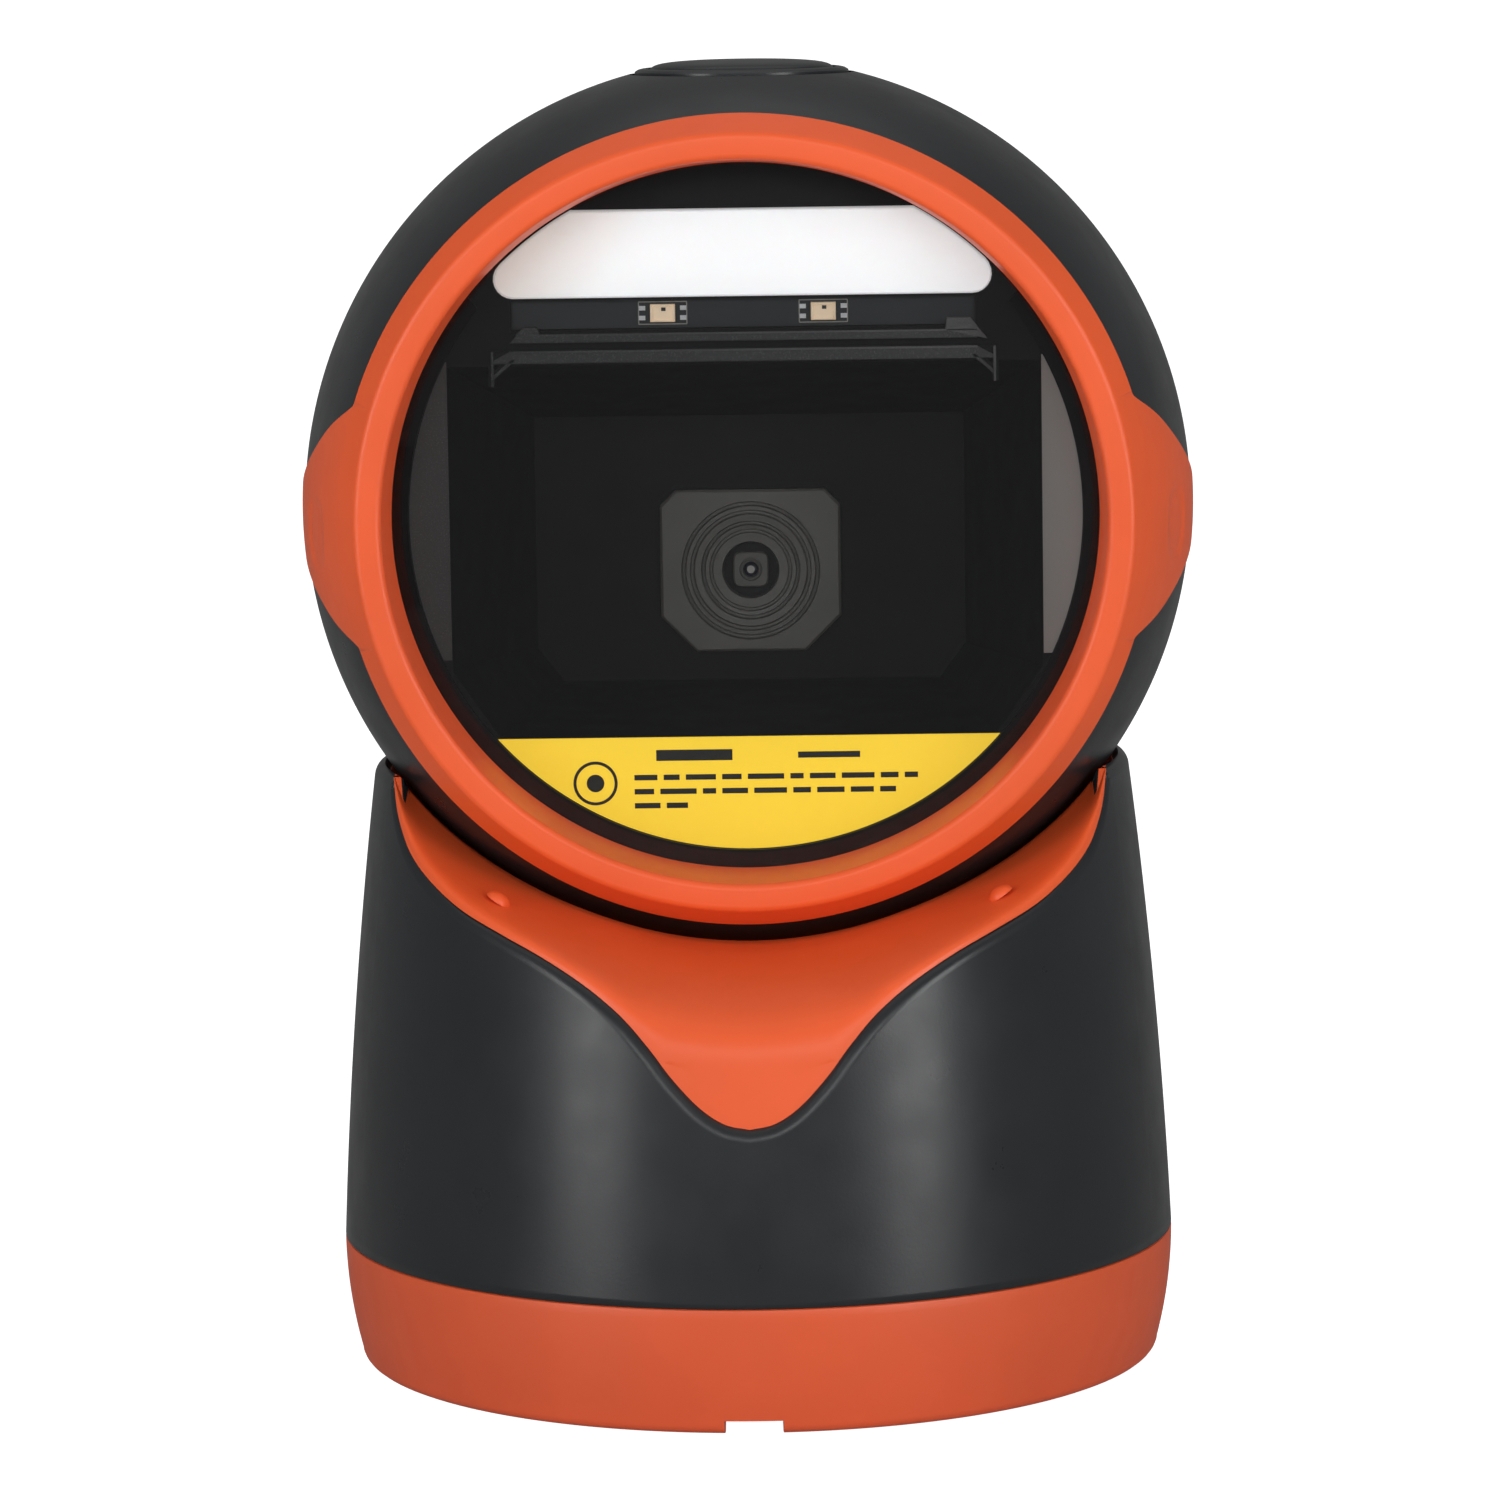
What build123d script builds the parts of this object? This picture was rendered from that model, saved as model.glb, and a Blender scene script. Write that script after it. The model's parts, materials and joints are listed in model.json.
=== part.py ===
"""Desktop presentation barcode scanner: a ball head with a round window, tilting in a weighted base.

Frame: +Z up, the window faces -Y, and the origin is the centre of the rubber foot on the table.
Units are millimetres and degrees. Heights named z_* are above the table; depths named y_* and
heights named h_* are measured from the centre of the ball.
"""

import os
from math import cos, radians, sin, sqrt

from build123d import *

os.makedirs("parts", exist_ok=True)

# ------------------------------------------------------------------ driving dimensions
# Ball head
ball_r = 50.6
ball_z = 98.4
ball_wall = 2.2
fit = 0.1  # moulding gap on each side between neighbouring pieces
seam_chamfer = 0.25

# Bezel ring and its side wings
y_cut = -23.2  # plane where the ball is cut for the window
bezel_front_r = 43.1
bezel_inner_r = 40.25
window_r = 39.6
y_bezel = -26.9
y_window = -18.0
skirt_r, skirt_wall = 42.2, 1.2
y_skirt = -13.0
wing_rise = 0.3
wing_depth = 1.2
wing_root_h = 13.4  # half height where the wing leaves the ring
wing_line = [(-14.5, 10.4), (-6.0, 7.5), (0.0, 5.5), (7.0, 3.2)]  # depth and half height behind the ring
y_wing_end = 12.0
wing_overlap = 0.6  # the wings run this far into the ring
wing_droop = 2.5  # the wings fall this many degrees towards the back

# Optics
pane_t = 2.0
mask_t = 0.8
flange_t = 1.5
mask_in_r = 37.9
tunnel_x, tunnel_top, tunnel_bottom = 33.2, 17.0, -25.0
back_x, back_top, back_bottom = 25.0, 9.0, -22.0
tunnel_wall = 1.2
y_tunnel_back = 13.0
bar_low, bar_high, bar_r = 24.6, 34.3, 39.3
strip_low, strip_high, strip_x = 21.0, 24.4, 27.0
rail_1 = (26.1, 19.5, 20.7)
rail_2 = (28.0, 17.2, 18.8)
gusset_x, gusset_t, gusset_low, gusset_top = 28.2, 0.7, 14.8, 18.8  # ribs at the ends of the lower rail
strut_x = 25.0
led_x, led_h = 9.0, 22.7
lens_h = -9.15
plate_x, plate_h = 10.5, 9.45  # half sizes of the camera plate
label_top = -25.05

# Top button
button_r = 10.5
button_rim_r = 12.4
button_sunk = 0.1
button_travel = 0.6

# Base
z_rim = 69.4
z_seam = 14.5
seam_r = 47.88
waist_r, z_waist = 45.9, 44.0
rim_r = 43.15
base_wall = 2.2
z_ring = 0.4
ring_foot_r = 45.5
ring_wall = 2.4
notch_w, notch_h = 6.5, 1.6
notch_depth = 10.0  # the front notch runs on as a shallow channel under the plate
plate_t = 2.0
foot_t = 1.2
foot_r = 42.8

# Cradle and tilt clamp
cup_r = ball_r + 0.6
cup_wall = 2.6
lip_h = 1.6  # the shell's rim stands this far over the cradle's edge
rim_wall = 1.1  # shell thickness outside the cradle's edge
flare_r = 10.0
y_flare = -36.0
clamp_angle = 19.0  # clamp axis behind the straight-down direction
tilt_up, tilt_down = 20.0, 10.0
post_out_r, post_in_r = 4.0, 2.2
lead_r = 1.5

# Fasteners
screw_r, screw_hole_r = 1.25, 1.3
screw_head_r, screw_head_t = 2.4, 1.4

# ------------------------------------------------------------------ derived places
centre = Vector(0, 0, ball_z)
inner_r = ball_r - ball_wall
y_pane_back = y_window + pane_t
y_flange = y_pane_back + mask_t
y_flange_back = y_flange + flange_t
z_plate = foot_t + plate_t
clamp = Plane(origin=centre, x_dir=(1, 0, 0),
              z_dir=(0, sin(radians(clamp_angle)), -cos(radians(clamp_angle))))
UP = (Align.CENTER, Align.CENTER, Align.MIN)
DOWN = (Align.CENTER, Align.CENTER, Align.MAX)


def facing(y):
    """Plane across the view at a depth: local x is world X, local y is world Z, normal is -Y."""
    return Plane(origin=centre + Vector(0, y, 0), x_dir=(1, 0, 0), z_dir=(0, -1, 0))


def side_plane():
    """Half plane through the ball's centre for turning about the view axis: local x is Y, y is Z."""
    return Plane(origin=centre, x_dir=(0, 1, 0), z_dir=(1, 0, 0))


def around(radius, angle):
    """Point at a radius and an angle from the first local axis."""
    return Vector(radius * cos(radians(angle)), radius * sin(radians(angle)), 0)


view_axis = Axis(centre, (0, 1, 0))
clamp_axis = Axis(centre, clamp.z_dir)


def save(part, label):
    """Labels a finished piece and writes it as its own STEP file."""
    part.label = label
    export_step(part, f"parts/{label}.step")


def ball(radius):
    """A solid ball round the head's centre, kept out of any open builder."""
    return Pos(*centre) * Sphere(radius, mode=Mode.PRIVATE)


def screws(label, places, length, head_r=screw_head_r, head_t=screw_head_t):
    """One node of identical screws: each place is the plane of a head's underside, z into the head."""
    with BuildPart() as group:
        for place in places:
            with BuildSketch(place):
                Circle(head_r)
            extrude(amount=head_t)
            with BuildSketch(place):
                Circle(screw_r)
            extrude(amount=-length)
            with BuildSketch(place.offset(head_t)):
                RegularPolygon(1.1, 6)
            extrude(amount=-0.8, mode=Mode.SUBTRACT)
    save(group.part, label)


# ------------------------------------------------------------------ outer wall of the base
def wall_radius(z):
    """Outer radius of the base shell at a height: a shallow barrel through three levels."""
    span = (z - z_seam) / (z_rim - z_seam)
    mid = (z_waist - z_seam) / (z_rim - z_seam)
    bulge = waist_r - (seam_r + (rim_r - seam_r) * mid)
    return seam_r + (rim_r - seam_r) * span + bulge * span * (1 - span) / (mid * (1 - mid))


def wall_solid(inset, z_low, z_high):
    """Solid of revolution inside the base wall, inset by a distance from its outer face."""
    z_mid = (z_low + z_high) / 2
    low = (wall_radius(z_low) - inset, z_low)
    mid = (wall_radius(z_mid) - inset, z_mid)
    high = (wall_radius(z_high) - inset, z_high)
    with BuildPart() as solid:
        with BuildSketch(Plane.XZ):
            with BuildLine():
                ThreePointArc(low, mid, high)
                Polyline(high, (0, z_high), (0, z_low), low)
            make_face()
        revolve(axis=Axis.Z)
    return solid.part


def dish_solid(grow):
    """The space of the dish: round at the back, straight forward below the ball, flared at its front."""
    radius = cup_r + grow
    turn = flare_r - grow
    mouth = (y_flare - turn, radius + turn)
    with BuildPart() as solid:
        with BuildSketch(side_plane()):
            with BuildLine():
                CenterArc((0, 0), radius, 0, 90)
                Line((0, radius), (y_flare, radius))
                CenterArc((y_flare, radius + turn), turn, 180, 90)
                Polyline(mouth, (mouth[0], 80), (-70, 80), (-70, 0), (radius, 0))
            make_face()
        revolve(axis=view_axis)
    return solid.part


# Front outline of the orange inlay: half of a soft V, from its tip up the edge of the dish
inlay_low = [(0, 34.2), (5.6, 36.8), (11.2, 43.2), (17.8, 49.3), (27.0, 53.6), (35.4, 59.3), (39.4, 65.0)]
inlay_high = (40.9, z_rim + 3)


def inlay_prism(drop):
    """The V outline, lowered by a gap, carried straight back from the front to the centre plane."""
    low = [(x, z - drop) for x, z in inlay_low]
    with BuildPart() as prism:
        with BuildSketch(Plane.XZ):
            with BuildLine() as half:
                Spline(*low, inlay_high, tangents=[(1, 0), (0.15, 1)])
                mirror(half.line, about=Plane.YZ)
                Line(inlay_high, (-inlay_high[0], inlay_high[1]))
            make_face()
        extrude(amount=60)
    return prism.part


z_zone = inlay_low[0][1] - 4  # the cradle stays above this height
dish = dish_solid(0)
dish_outside = dish_solid(cup_wall)
inlay_opening = inlay_prism(0.15)
inlay_body = inlay_prism(0)

# ------------------------------------------------------------------ base_shell
shell_posts = [(39.2, angle) for angle in (45, 135, 225, 315)]
cradle_legs = [(36.0, angle) for angle in (38, 142, 218, 322)]
post_r = 3.2
z_lug, lug_t = 25.0, 3.0
z_leg = z_lug + lug_t
spigot_h = 2.2
z_board, board_t = 14.6, 1.6
jack_w, jack_h, jack_d = 15.2, 13.0, 16.0
y_jack = 44.2
z_jack = z_board + board_t
port_w, port_h, port_d = 11.7, 6.7, 12.0
z_port = z_jack + 3.4
latch_w, latch_h = 6.2, 2.6

with BuildPart() as below_lip:
    add(dish_solid(cup_wall + fit))
    add(wall_solid(rim_wall, z_zone, z_rim - lip_h), mode=Mode.INTERSECT)

with BuildPart() as base_shell:
    add(wall_solid(0, z_seam, z_rim))
    rim_edge = base_shell.edges().group_by(Axis.Z)[-1].sort_by(SortBy.LENGTH)[-1]
    fillet(rim_edge, radius=0.9)
    add(wall_solid(base_wall, z_seam - 1, z_rim - lip_h), mode=Mode.SUBTRACT)
    with BuildSketch(Plane.XY.offset(z_seam)):
        Circle(wall_radius(z_seam) - base_wall + 0.4)
        Circle(wall_radius(z_seam) - base_wall - 1.2, mode=Mode.SUBTRACT)
    extrude(amount=1.5)
    with BuildSketch(Plane.XY.offset(z_seam - spigot_h)):
        Circle(wall_radius(z_seam) - ring_wall - fit)
        Circle(wall_radius(z_seam) - base_wall - 1.2, mode=Mode.SUBTRACT)
    extrude(amount=spigot_h)
    add(dish, mode=Mode.SUBTRACT)
    add(below_lip.part, mode=Mode.SUBTRACT)
    add(inlay_opening, mode=Mode.SUBTRACT)
    for radius, angle in shell_posts:
        with Locations(Rot(0, 0, angle) * Pos(radius, 0, z_plate)):
            Cylinder(post_r, z_lug - z_plate, align=UP)
        with Locations(Rot(0, 0, angle) * Pos(radius + post_r, 0, z_lug - 5)):
            Box(2 * post_r, post_r, 5, align=UP)
        with Locations(Rot(0, 0, angle) * Pos(radius, 0, z_plate)):
            Cylinder(screw_hole_r, 12, align=UP, mode=Mode.SUBTRACT)
    for radius, angle in cradle_legs:
        with Locations(Rot(0, 0, angle) * Pos(radius + 3, 0, z_lug)):
            Box(14, 8, lug_t, align=UP)
        with Locations(Rot(0, 0, angle) * Pos(radius, 0, z_lug)):
            Cylinder(screw_hole_r + 0.2, lug_t, align=UP, mode=Mode.SUBTRACT)
    with BuildSketch(Plane.XZ.offset(-(y_jack - 1))):
        with Locations((0, z_port + port_h / 2)):
            RectangleRounded(port_w + 1.6, port_h + 1.6, 0.6)
        with Locations((0, z_port + port_h + latch_h / 2)):
            RectangleRounded(latch_w + 1.6, latch_h + 1.6, 0.6)
    extrude(amount=-8, mode=Mode.SUBTRACT)
save(base_shell.part, "base_shell")

# ------------------------------------------------------------------ cradle
# Stop pips on the dish, and the ring pocket for the felt
pip_x, y_pip, pip_r, pip_sunk = 27.2, -16.0, 0.9, 0.4
felt_in, felt_out, felt_t = 11.0, 16.0, 1.2
felt_r = ball_r + 0.3


def clamp_ring(small, large, in_r, out_r, mode=Mode.ADD):
    """Part of the shell between two radii from the ball's centre, in a ring round the clamp axis."""
    with BuildPart(mode=Mode.PRIVATE) as ring:
        with BuildSketch(clamp.offset(20)):
            Circle(out_r)
            if in_r:
                Circle(in_r, mode=Mode.SUBTRACT)
        extrude(amount=50)
        add(ball(large), mode=Mode.INTERSECT)
        add(ball(small), mode=Mode.SUBTRACT)
    return ring.part


with BuildPart() as room_inside:
    add(wall_solid(base_wall, z_zone - 1, z_rim))
    add(dish_outside, mode=Mode.SUBTRACT)

with BuildPart() as inlay:
    add(wall_solid(0, z_zone, z_rim - lip_h))
    add(inlay_body, mode=Mode.INTERSECT)
    add(room_inside.part, mode=Mode.SUBTRACT)

with BuildPart() as cradle_pegs:
    for radius, angle in cradle_legs:
        with Locations(Rot(0, 0, angle) * Pos(radius, 0, z_leg)):
            Cylinder(post_r, ball_z - z_leg, align=UP)
    add(dish_solid(cup_wall / 2), mode=Mode.SUBTRACT)

boss_top_r = cup_r + 0.8  # the clamp boss starts inside the dish's wall
with BuildPart() as clamp_boss:
    with BuildSketch(clamp.offset(cup_r + 1)):
        Circle(9)
    extrude(amount=cup_wall + 1)
    add(ball(boss_top_r), mode=Mode.SUBTRACT)

with BuildPart() as cradle:
    add(wall_solid(rim_wall + fit, z_zone, z_rim - lip_h))
    add(dish_outside, mode=Mode.INTERSECT)
    add(inlay.part)
    add(dish, mode=Mode.SUBTRACT)
    for x in (-pip_x, pip_x):
        pip_z = ball_z - sqrt((cup_r + pip_sunk)**2 - x**2)
        with Locations((x, y_pip, pip_z)):
            Sphere(pip_r)
    add(cradle_pegs.part)
    for radius, angle in cradle_legs:
        with Locations(Rot(0, 0, angle) * Pos(radius, 0, z_leg)):
            Cylinder(screw_hole_r, 9, align=UP, mode=Mode.SUBTRACT)
    add(clamp_boss.part)
    with BuildSketch(clamp.offset(cup_r - 5)):
        Circle(post_out_r + 0.1)
    extrude(amount=20, mode=Mode.SUBTRACT)
    add(clamp_ring(cup_r - 2, felt_r + felt_t, felt_in, felt_out), mode=Mode.SUBTRACT)
save(cradle.part, "cradle")

friction_pad = clamp_ring(felt_r, felt_r + felt_t, felt_in + fit, felt_out - fit)
save(friction_pad, "friction_pad")

# ------------------------------------------------------------------ tilt clamp
s_collar = cup_r + cup_wall + 2
s_post_top, s_post_end = 38.0, 64.0
s_nut, nut_t, nut_af = 39.6, 3.4, 12.0
shoe_r, shoe_t, shoe_out = inner_r - 0.3, 2.6, 9.0
s_spring = s_nut + nut_t

with BuildPart() as neck_post:
    with BuildSketch(clamp.offset(s_post_top)):
        Circle(post_out_r)
    extrude(amount=s_post_end - s_post_top)
    with BuildSketch(clamp.offset(s_collar)):
        RegularPolygon(8.0, 6)
    extrude(amount=3.4)
    with BuildSketch(clamp.offset(s_post_top)):
        Circle(post_in_r)
    extrude(amount=s_post_end - s_post_top, mode=Mode.SUBTRACT)
    chamfer(neck_post.edges().filter_by(GeomType.CIRCLE).sort_by(clamp_axis)[0:2], length=0.4)
save(neck_post.part, "neck_post")

clamp_shoe = clamp_ring(shoe_r - shoe_t, shoe_r, post_out_r + fit, shoe_out)
save(clamp_shoe, "clamp_shoe")

with BuildPart() as clamp_nut:
    with BuildSketch(clamp.offset(s_nut)):
        RegularPolygon(nut_af / 2, 6, major_radius=False)
        Circle(post_out_r, mode=Mode.SUBTRACT)
    extrude(amount=nut_t)
save(clamp_nut.part, "clamp_nut")

# Disc spring: a thin cone between the nut and the shoe
spring_in, spring_out, spring_t, spring_h = 4.3, 6.6, 0.45, 1.95
with BuildPart() as clamp_spring:
    with BuildSketch(Plane(origin=centre, x_dir=(1, 0, 0), z_dir=clamp.x_dir.cross(clamp.z_dir))):
        with BuildLine():
            Polyline((spring_in, s_spring), (spring_out, s_spring + spring_h - spring_t),
                     (spring_out, s_spring + spring_h), (spring_in, s_spring + spring_t),
                     (spring_in, s_spring))
        make_face()
    revolve(axis=clamp_axis)
save(clamp_spring.part, "clamp_spring")

# ------------------------------------------------------------------ base_ring
ring_in = wall_radius(z_seam) - ring_wall
with BuildPart() as base_ring:
    with BuildSketch(Plane.XZ):
        with BuildLine():
            Line((0, z_ring), (ring_foot_r, z_ring))
            TangentArc((wall_radius(z_seam), z_seam), (ring_foot_r, z_ring), tangent=(0, -1),
                       tangent_from_first=True)
            Line((wall_radius(z_seam), z_seam), (0, z_seam))
            Line((0, z_seam), (0, z_ring))
        make_face()
    revolve(axis=Axis.Z)
    fillet(base_ring.edges().group_by(Axis.Z)[0].sort_by(SortBy.LENGTH)[-1], radius=0.9)
    with BuildSketch(Plane.XY.offset(z_plate)):
        Circle(ring_in)
    extrude(amount=z_seam, mode=Mode.SUBTRACT)
    with BuildSketch(Plane.XY):
        Circle(ring_foot_r - 1.6)
    extrude(amount=z_plate + 3, mode=Mode.SUBTRACT)
    with Locations((0, -ring_foot_r, z_ring + notch_h / 2)):
        Box(notch_w, 8, notch_h, mode=Mode.SUBTRACT)
save(base_ring.part, "base_ring")

# ------------------------------------------------------------------ bottom plate, weight and foot
board_posts = [(x, y) for x in (-16, 16) for y in (17, 33)]
weight_posts = [(24.0, angle) for angle in (-90, 10, 170)]
weight_r, weight_t = 35.6, 6.0

with BuildPart() as bottom_plate:
    with Locations((0, 0, foot_t)):
        Cylinder(ring_foot_r - 1.7, plate_t, align=UP)
    with Locations((0, 0, z_plate)):
        with Locations(*[(x, y, 0) for x, y in board_posts]):
            Cylinder(2.4, z_board - z_plate, align=UP)
        for radius, angle in weight_posts:
            with Locations(Rot(0, 0, angle) * Pos(radius, 0, 0)):
                Cylinder(3.0, weight_t - 0.1, align=UP)
    for x, y in board_posts:
        with Locations((x, y, z_board)):
            Cylinder(screw_hole_r, 8, align=DOWN, mode=Mode.SUBTRACT)
    for radius, angle in weight_posts:
        with Locations(Rot(0, 0, angle) * Pos(radius, 0, z_plate + weight_t)):
            Cylinder(screw_hole_r, 6, align=DOWN, mode=Mode.SUBTRACT)
    for radius, angle in shell_posts:
        with Locations(Rot(0, 0, angle) * Pos(radius, 0, foot_t)):
            Cylinder(screw_hole_r, plate_t, align=UP, mode=Mode.SUBTRACT)
            Cylinder(screw_head_r + 0.2, 1.3, align=UP, mode=Mode.SUBTRACT)
    with Locations((0, -ring_foot_r, foot_t)):
        Box(notch_w, 2 * notch_depth, plate_t / 2, align=UP, mode=Mode.SUBTRACT)
save(bottom_plate.part, "bottom_plate")

with BuildPart() as foot_pad:
    Cylinder(foot_r, foot_t, align=UP)
    chamfer(foot_pad.edges().group_by(Axis.Z)[0], length=0.3)
    with Locations((0, 0, 0)):
        with PolarLocations(38, 4, start_angle=0):
            Cylinder(1.2, 0.5, align=UP, mode=Mode.SUBTRACT)
    with Locations((0, -ring_foot_r, 0)):
        Box(notch_w, 2 * notch_depth, foot_t, align=UP, mode=Mode.SUBTRACT)
save(foot_pad.part, "foot_pad")

with BuildPart() as ballast_weight:
    with Locations((0, 0, z_plate)):
        Cylinder(weight_r, weight_t, align=UP)
    chamfer(ballast_weight.edges().filter_by(GeomType.CIRCLE), length=0.5)
    for x, y in board_posts:
        with Locations((x, y, z_plate)):
            Cylinder(3.0, weight_t, align=UP, mode=Mode.SUBTRACT)
    for radius, angle in weight_posts:
        with Locations(Rot(0, 0, angle) * Pos(radius, 0, z_plate)):
            Cylinder(3.4, weight_t, align=UP, mode=Mode.SUBTRACT)
save(ballast_weight.part, "ballast_weight")

screws("ballast_screws", [Plane.XY.offset(z_plate + weight_t).move(Location(around(*place)))
                          for place in weight_posts], 5.5, head_r=4.6)
screws("base_screws", [Plane(origin=around(*place) + Vector(0, 0, foot_t + 1.3), z_dir=(0, 0, -1))
                       for place in shell_posts], 12, head_t=1.2)
screws("cradle_screws", [Plane(origin=around(*place) + Vector(0, 0, z_lug), z_dir=(0, 0, -1))
                         for place in cradle_legs], lug_t + 7)
screws("board_screws", [Plane.XY.offset(z_board + board_t).move(Location((x, y, 0)))
                        for x, y in board_posts], 7)

# ------------------------------------------------------------------ data jack and its board
jack_board_w, jack_board_d, y_jack_board = 40, 30, 24
with BuildPart() as jack_board:
    with BuildSketch(Plane.XY.offset(z_board)):
        with Locations((0, y_jack_board)):
            RectangleRounded(jack_board_w, jack_board_d, 1.5)
        with Locations(*board_posts):
            Circle(screw_hole_r, mode=Mode.SUBTRACT)
    extrude(amount=board_t)
save(jack_board.part, "jack_board")

with BuildPart() as data_jack:
    with Locations((0, y_jack - jack_d / 2, z_jack)):
        Box(jack_w, jack_d, jack_h, align=UP)
    with Locations((0, y_jack, z_port + port_h / 2)):
        Box(port_w, 2 * port_d, port_h, mode=Mode.SUBTRACT)
    with Locations((0, y_jack, z_port + port_h + latch_h / 2)):
        Box(latch_w, 2 * port_d, latch_h, mode=Mode.SUBTRACT)
    fillet(data_jack.edges().filter_by(Axis.Y).group_by(SortBy.LENGTH)[-1], radius=0.4)
save(data_jack.part, "data_jack")

contact_pitch = 1.02
with BuildPart() as jack_contacts:
    with Locations((0, y_jack - port_d + 4.0, z_port)):
        with GridLocations(contact_pitch, 0, 10, 1):
            Box(0.45, 7.0, 0.5, align=UP)
save(jack_contacts.part, "jack_contacts")

z_chip = z_board + board_t


def on_clamp(distance):
    """Point on the clamp axis at a distance from the ball's centre."""
    return centre + clamp.z_dir * distance


# Chips on the jack board: centre, width, depth and height of each
chip_table = [(-12, 24.5, 5, 4, 1.2), (11.5, 25, 7, 6, 1.4), (-5.5, 12.5, 4, 3, 1.0)]
with BuildPart() as board_chips:
    for x, y, w, d, h in chip_table:
        with Locations((x, y, z_chip)):
            Box(w, d, h, align=UP)
save(board_chips.part, "board_chips")

s_lead_bend = 70.0
y_plug = on_clamp(s_lead_bend).Y
plug_w, plug_d, plug_h = 8.5, 5, 4.6
with BuildPart() as lead_socket:
    with Locations((0, y_plug, z_chip)):
        Box(plug_w, plug_d, plug_h, align=UP)
save(lead_socket.part, "lead_socket")

with BuildPart() as buzzer:
    with Locations((7.5, 13.2, z_chip)):
        Cylinder(3.2, 4.0, align=UP)
        Cylinder(0.8, 5.0, align=UP, mode=Mode.SUBTRACT)
save(buzzer.part, "buzzer")

with BuildPart() as base_lead:
    with BuildLine():
        FilletPolyline(on_clamp(s_post_top + 1), on_clamp(s_lead_bend),
                       Vector(0, y_plug, z_chip + plug_h), radius=20)
    with BuildSketch(Plane(origin=on_clamp(s_post_top + 1), z_dir=clamp.z_dir)):
        Circle(lead_r)
    sweep()
save(base_lead.part, "base_lead")

# ------------------------------------------------------------------ head shells
boss_places = [(37.2, angle) for angle in (36, 144, 243, 297)]
boss_r = 3.4
y_ear = -11.0
y_screw_seat = 22.0
slot_low = clamp_angle - tilt_down - 5.6
slot_high = clamp_angle + tilt_up + 5.6
slot_half = post_out_r + 0.5
h_switch_board = 39.2
switch_posts = [(-14.5, 9), (14.5, 9)]


def wing_solid(low, high, inset):
    """Both wings, tall at the ring and drawn in to a rounded end, kept between two radii."""
    root = (y_cut - wing_overlap, wing_root_h - inset)
    tip = (y_wing_end - inset, 0)
    lean = radians(wing_droop)
    pivot = Vector(0, y_cut, 0)
    drooped = Plane(origin=centre + pivot - Vector(0, y_cut * cos(lean), -y_cut * sin(lean)),
                    x_dir=(0, cos(lean), -sin(lean)), z_dir=(1, 0, 0))
    with BuildPart(mode=Mode.PRIVATE) as wings:
        with BuildSketch(drooped.offset(-60)):
            with BuildLine() as upper:
                Spline(root, *[(y, h - inset) for y, h in wing_line], tip, tangents=[(1, -0.55), (0, -1)])
                mirror(upper.line, about=Plane.XZ)
                Line(root, (root[0], -root[1]))
            make_face()
        extrude(amount=120)
        add(ball(high), mode=Mode.INTERSECT)
        add(ball(low), mode=Mode.SUBTRACT)
    return wings.part


def boss_solid(y_from, y_to):
    """Screw bosses along the view axis with a web to the wall, kept inside the ball."""
    with BuildPart(mode=Mode.PRIVATE) as bosses:
        for radius, angle in boss_places:
            place = around(radius, angle)
            with BuildSketch(facing(y_to)):
                with Locations((place.X, place.Y)):
                    Circle(boss_r)
                with Locations(Rot(0, 0, angle) * Pos(radius + 5, 0)):
                    Rectangle(12, 2.4)
            extrude(amount=y_to - y_from)
        add(ball(inner_r + 0.3), mode=Mode.INTERSECT)
    return bosses.part


def hollow_ball(y_from, y_to):
    """The ball's wall between two depths."""
    with BuildPart() as slab:
        with BuildSketch(facing(y_to)):
            Circle(ball_r + 5)
        extrude(amount=y_to - y_from)
    with BuildPart() as wall:
        add(ball(ball_r))
        add(ball(inner_r), mode=Mode.SUBTRACT)
        add(slab.part, mode=Mode.INTERSECT)
    return wall.part


with BuildPart() as seam_groove:
    with BuildSketch(side_plane()):
        with BuildLine():
            Polyline((-seam_chamfer, ball_r + 0.1), (0, ball_r - seam_chamfer), (seam_chamfer, ball_r + 0.1),
                     (-seam_chamfer, ball_r + 0.1))
        make_face()
    revolve(axis=view_axis)

button_plane = Plane(origin=centre, z_dir=(0, 0, 1))
wing_pocket = wing_solid(ball_r - wing_depth - fit, ball_r + 5, -fit)

with BuildPart() as head_front:
    add(hollow_ball(y_cut, 0))
    add(seam_groove.part, mode=Mode.SUBTRACT)
    add(wing_pocket, mode=Mode.SUBTRACT)
    add(boss_solid(y_ear, 0))
    with BuildSketch(button_plane.offset(30)):
        Circle(button_rim_r + fit)
    extrude(amount=40, mode=Mode.SUBTRACT)
    for radius, angle in boss_places:
        place = around(radius, angle)
        with BuildSketch(facing(0)):
            with Locations((place.X, place.Y)):
                Circle(screw_hole_r + 0.2)
        extrude(amount=-y_ear, mode=Mode.SUBTRACT)
save(head_front.part, "head_front")

with BuildPart() as switch_pillars:
    with BuildSketch(button_plane.offset(h_switch_board)):
        with Locations(*switch_posts):
            Circle(1.9)
    extrude(amount=20)
    add(ball(inner_r + 0.5), mode=Mode.INTERSECT)

slot_reach = 70.0
slot_low_end = (slot_reach * sin(radians(slot_low)), -slot_reach * cos(radians(slot_low)))
slot_high_end = (slot_reach * sin(radians(slot_high)), -slot_reach * cos(radians(slot_high)))

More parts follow.
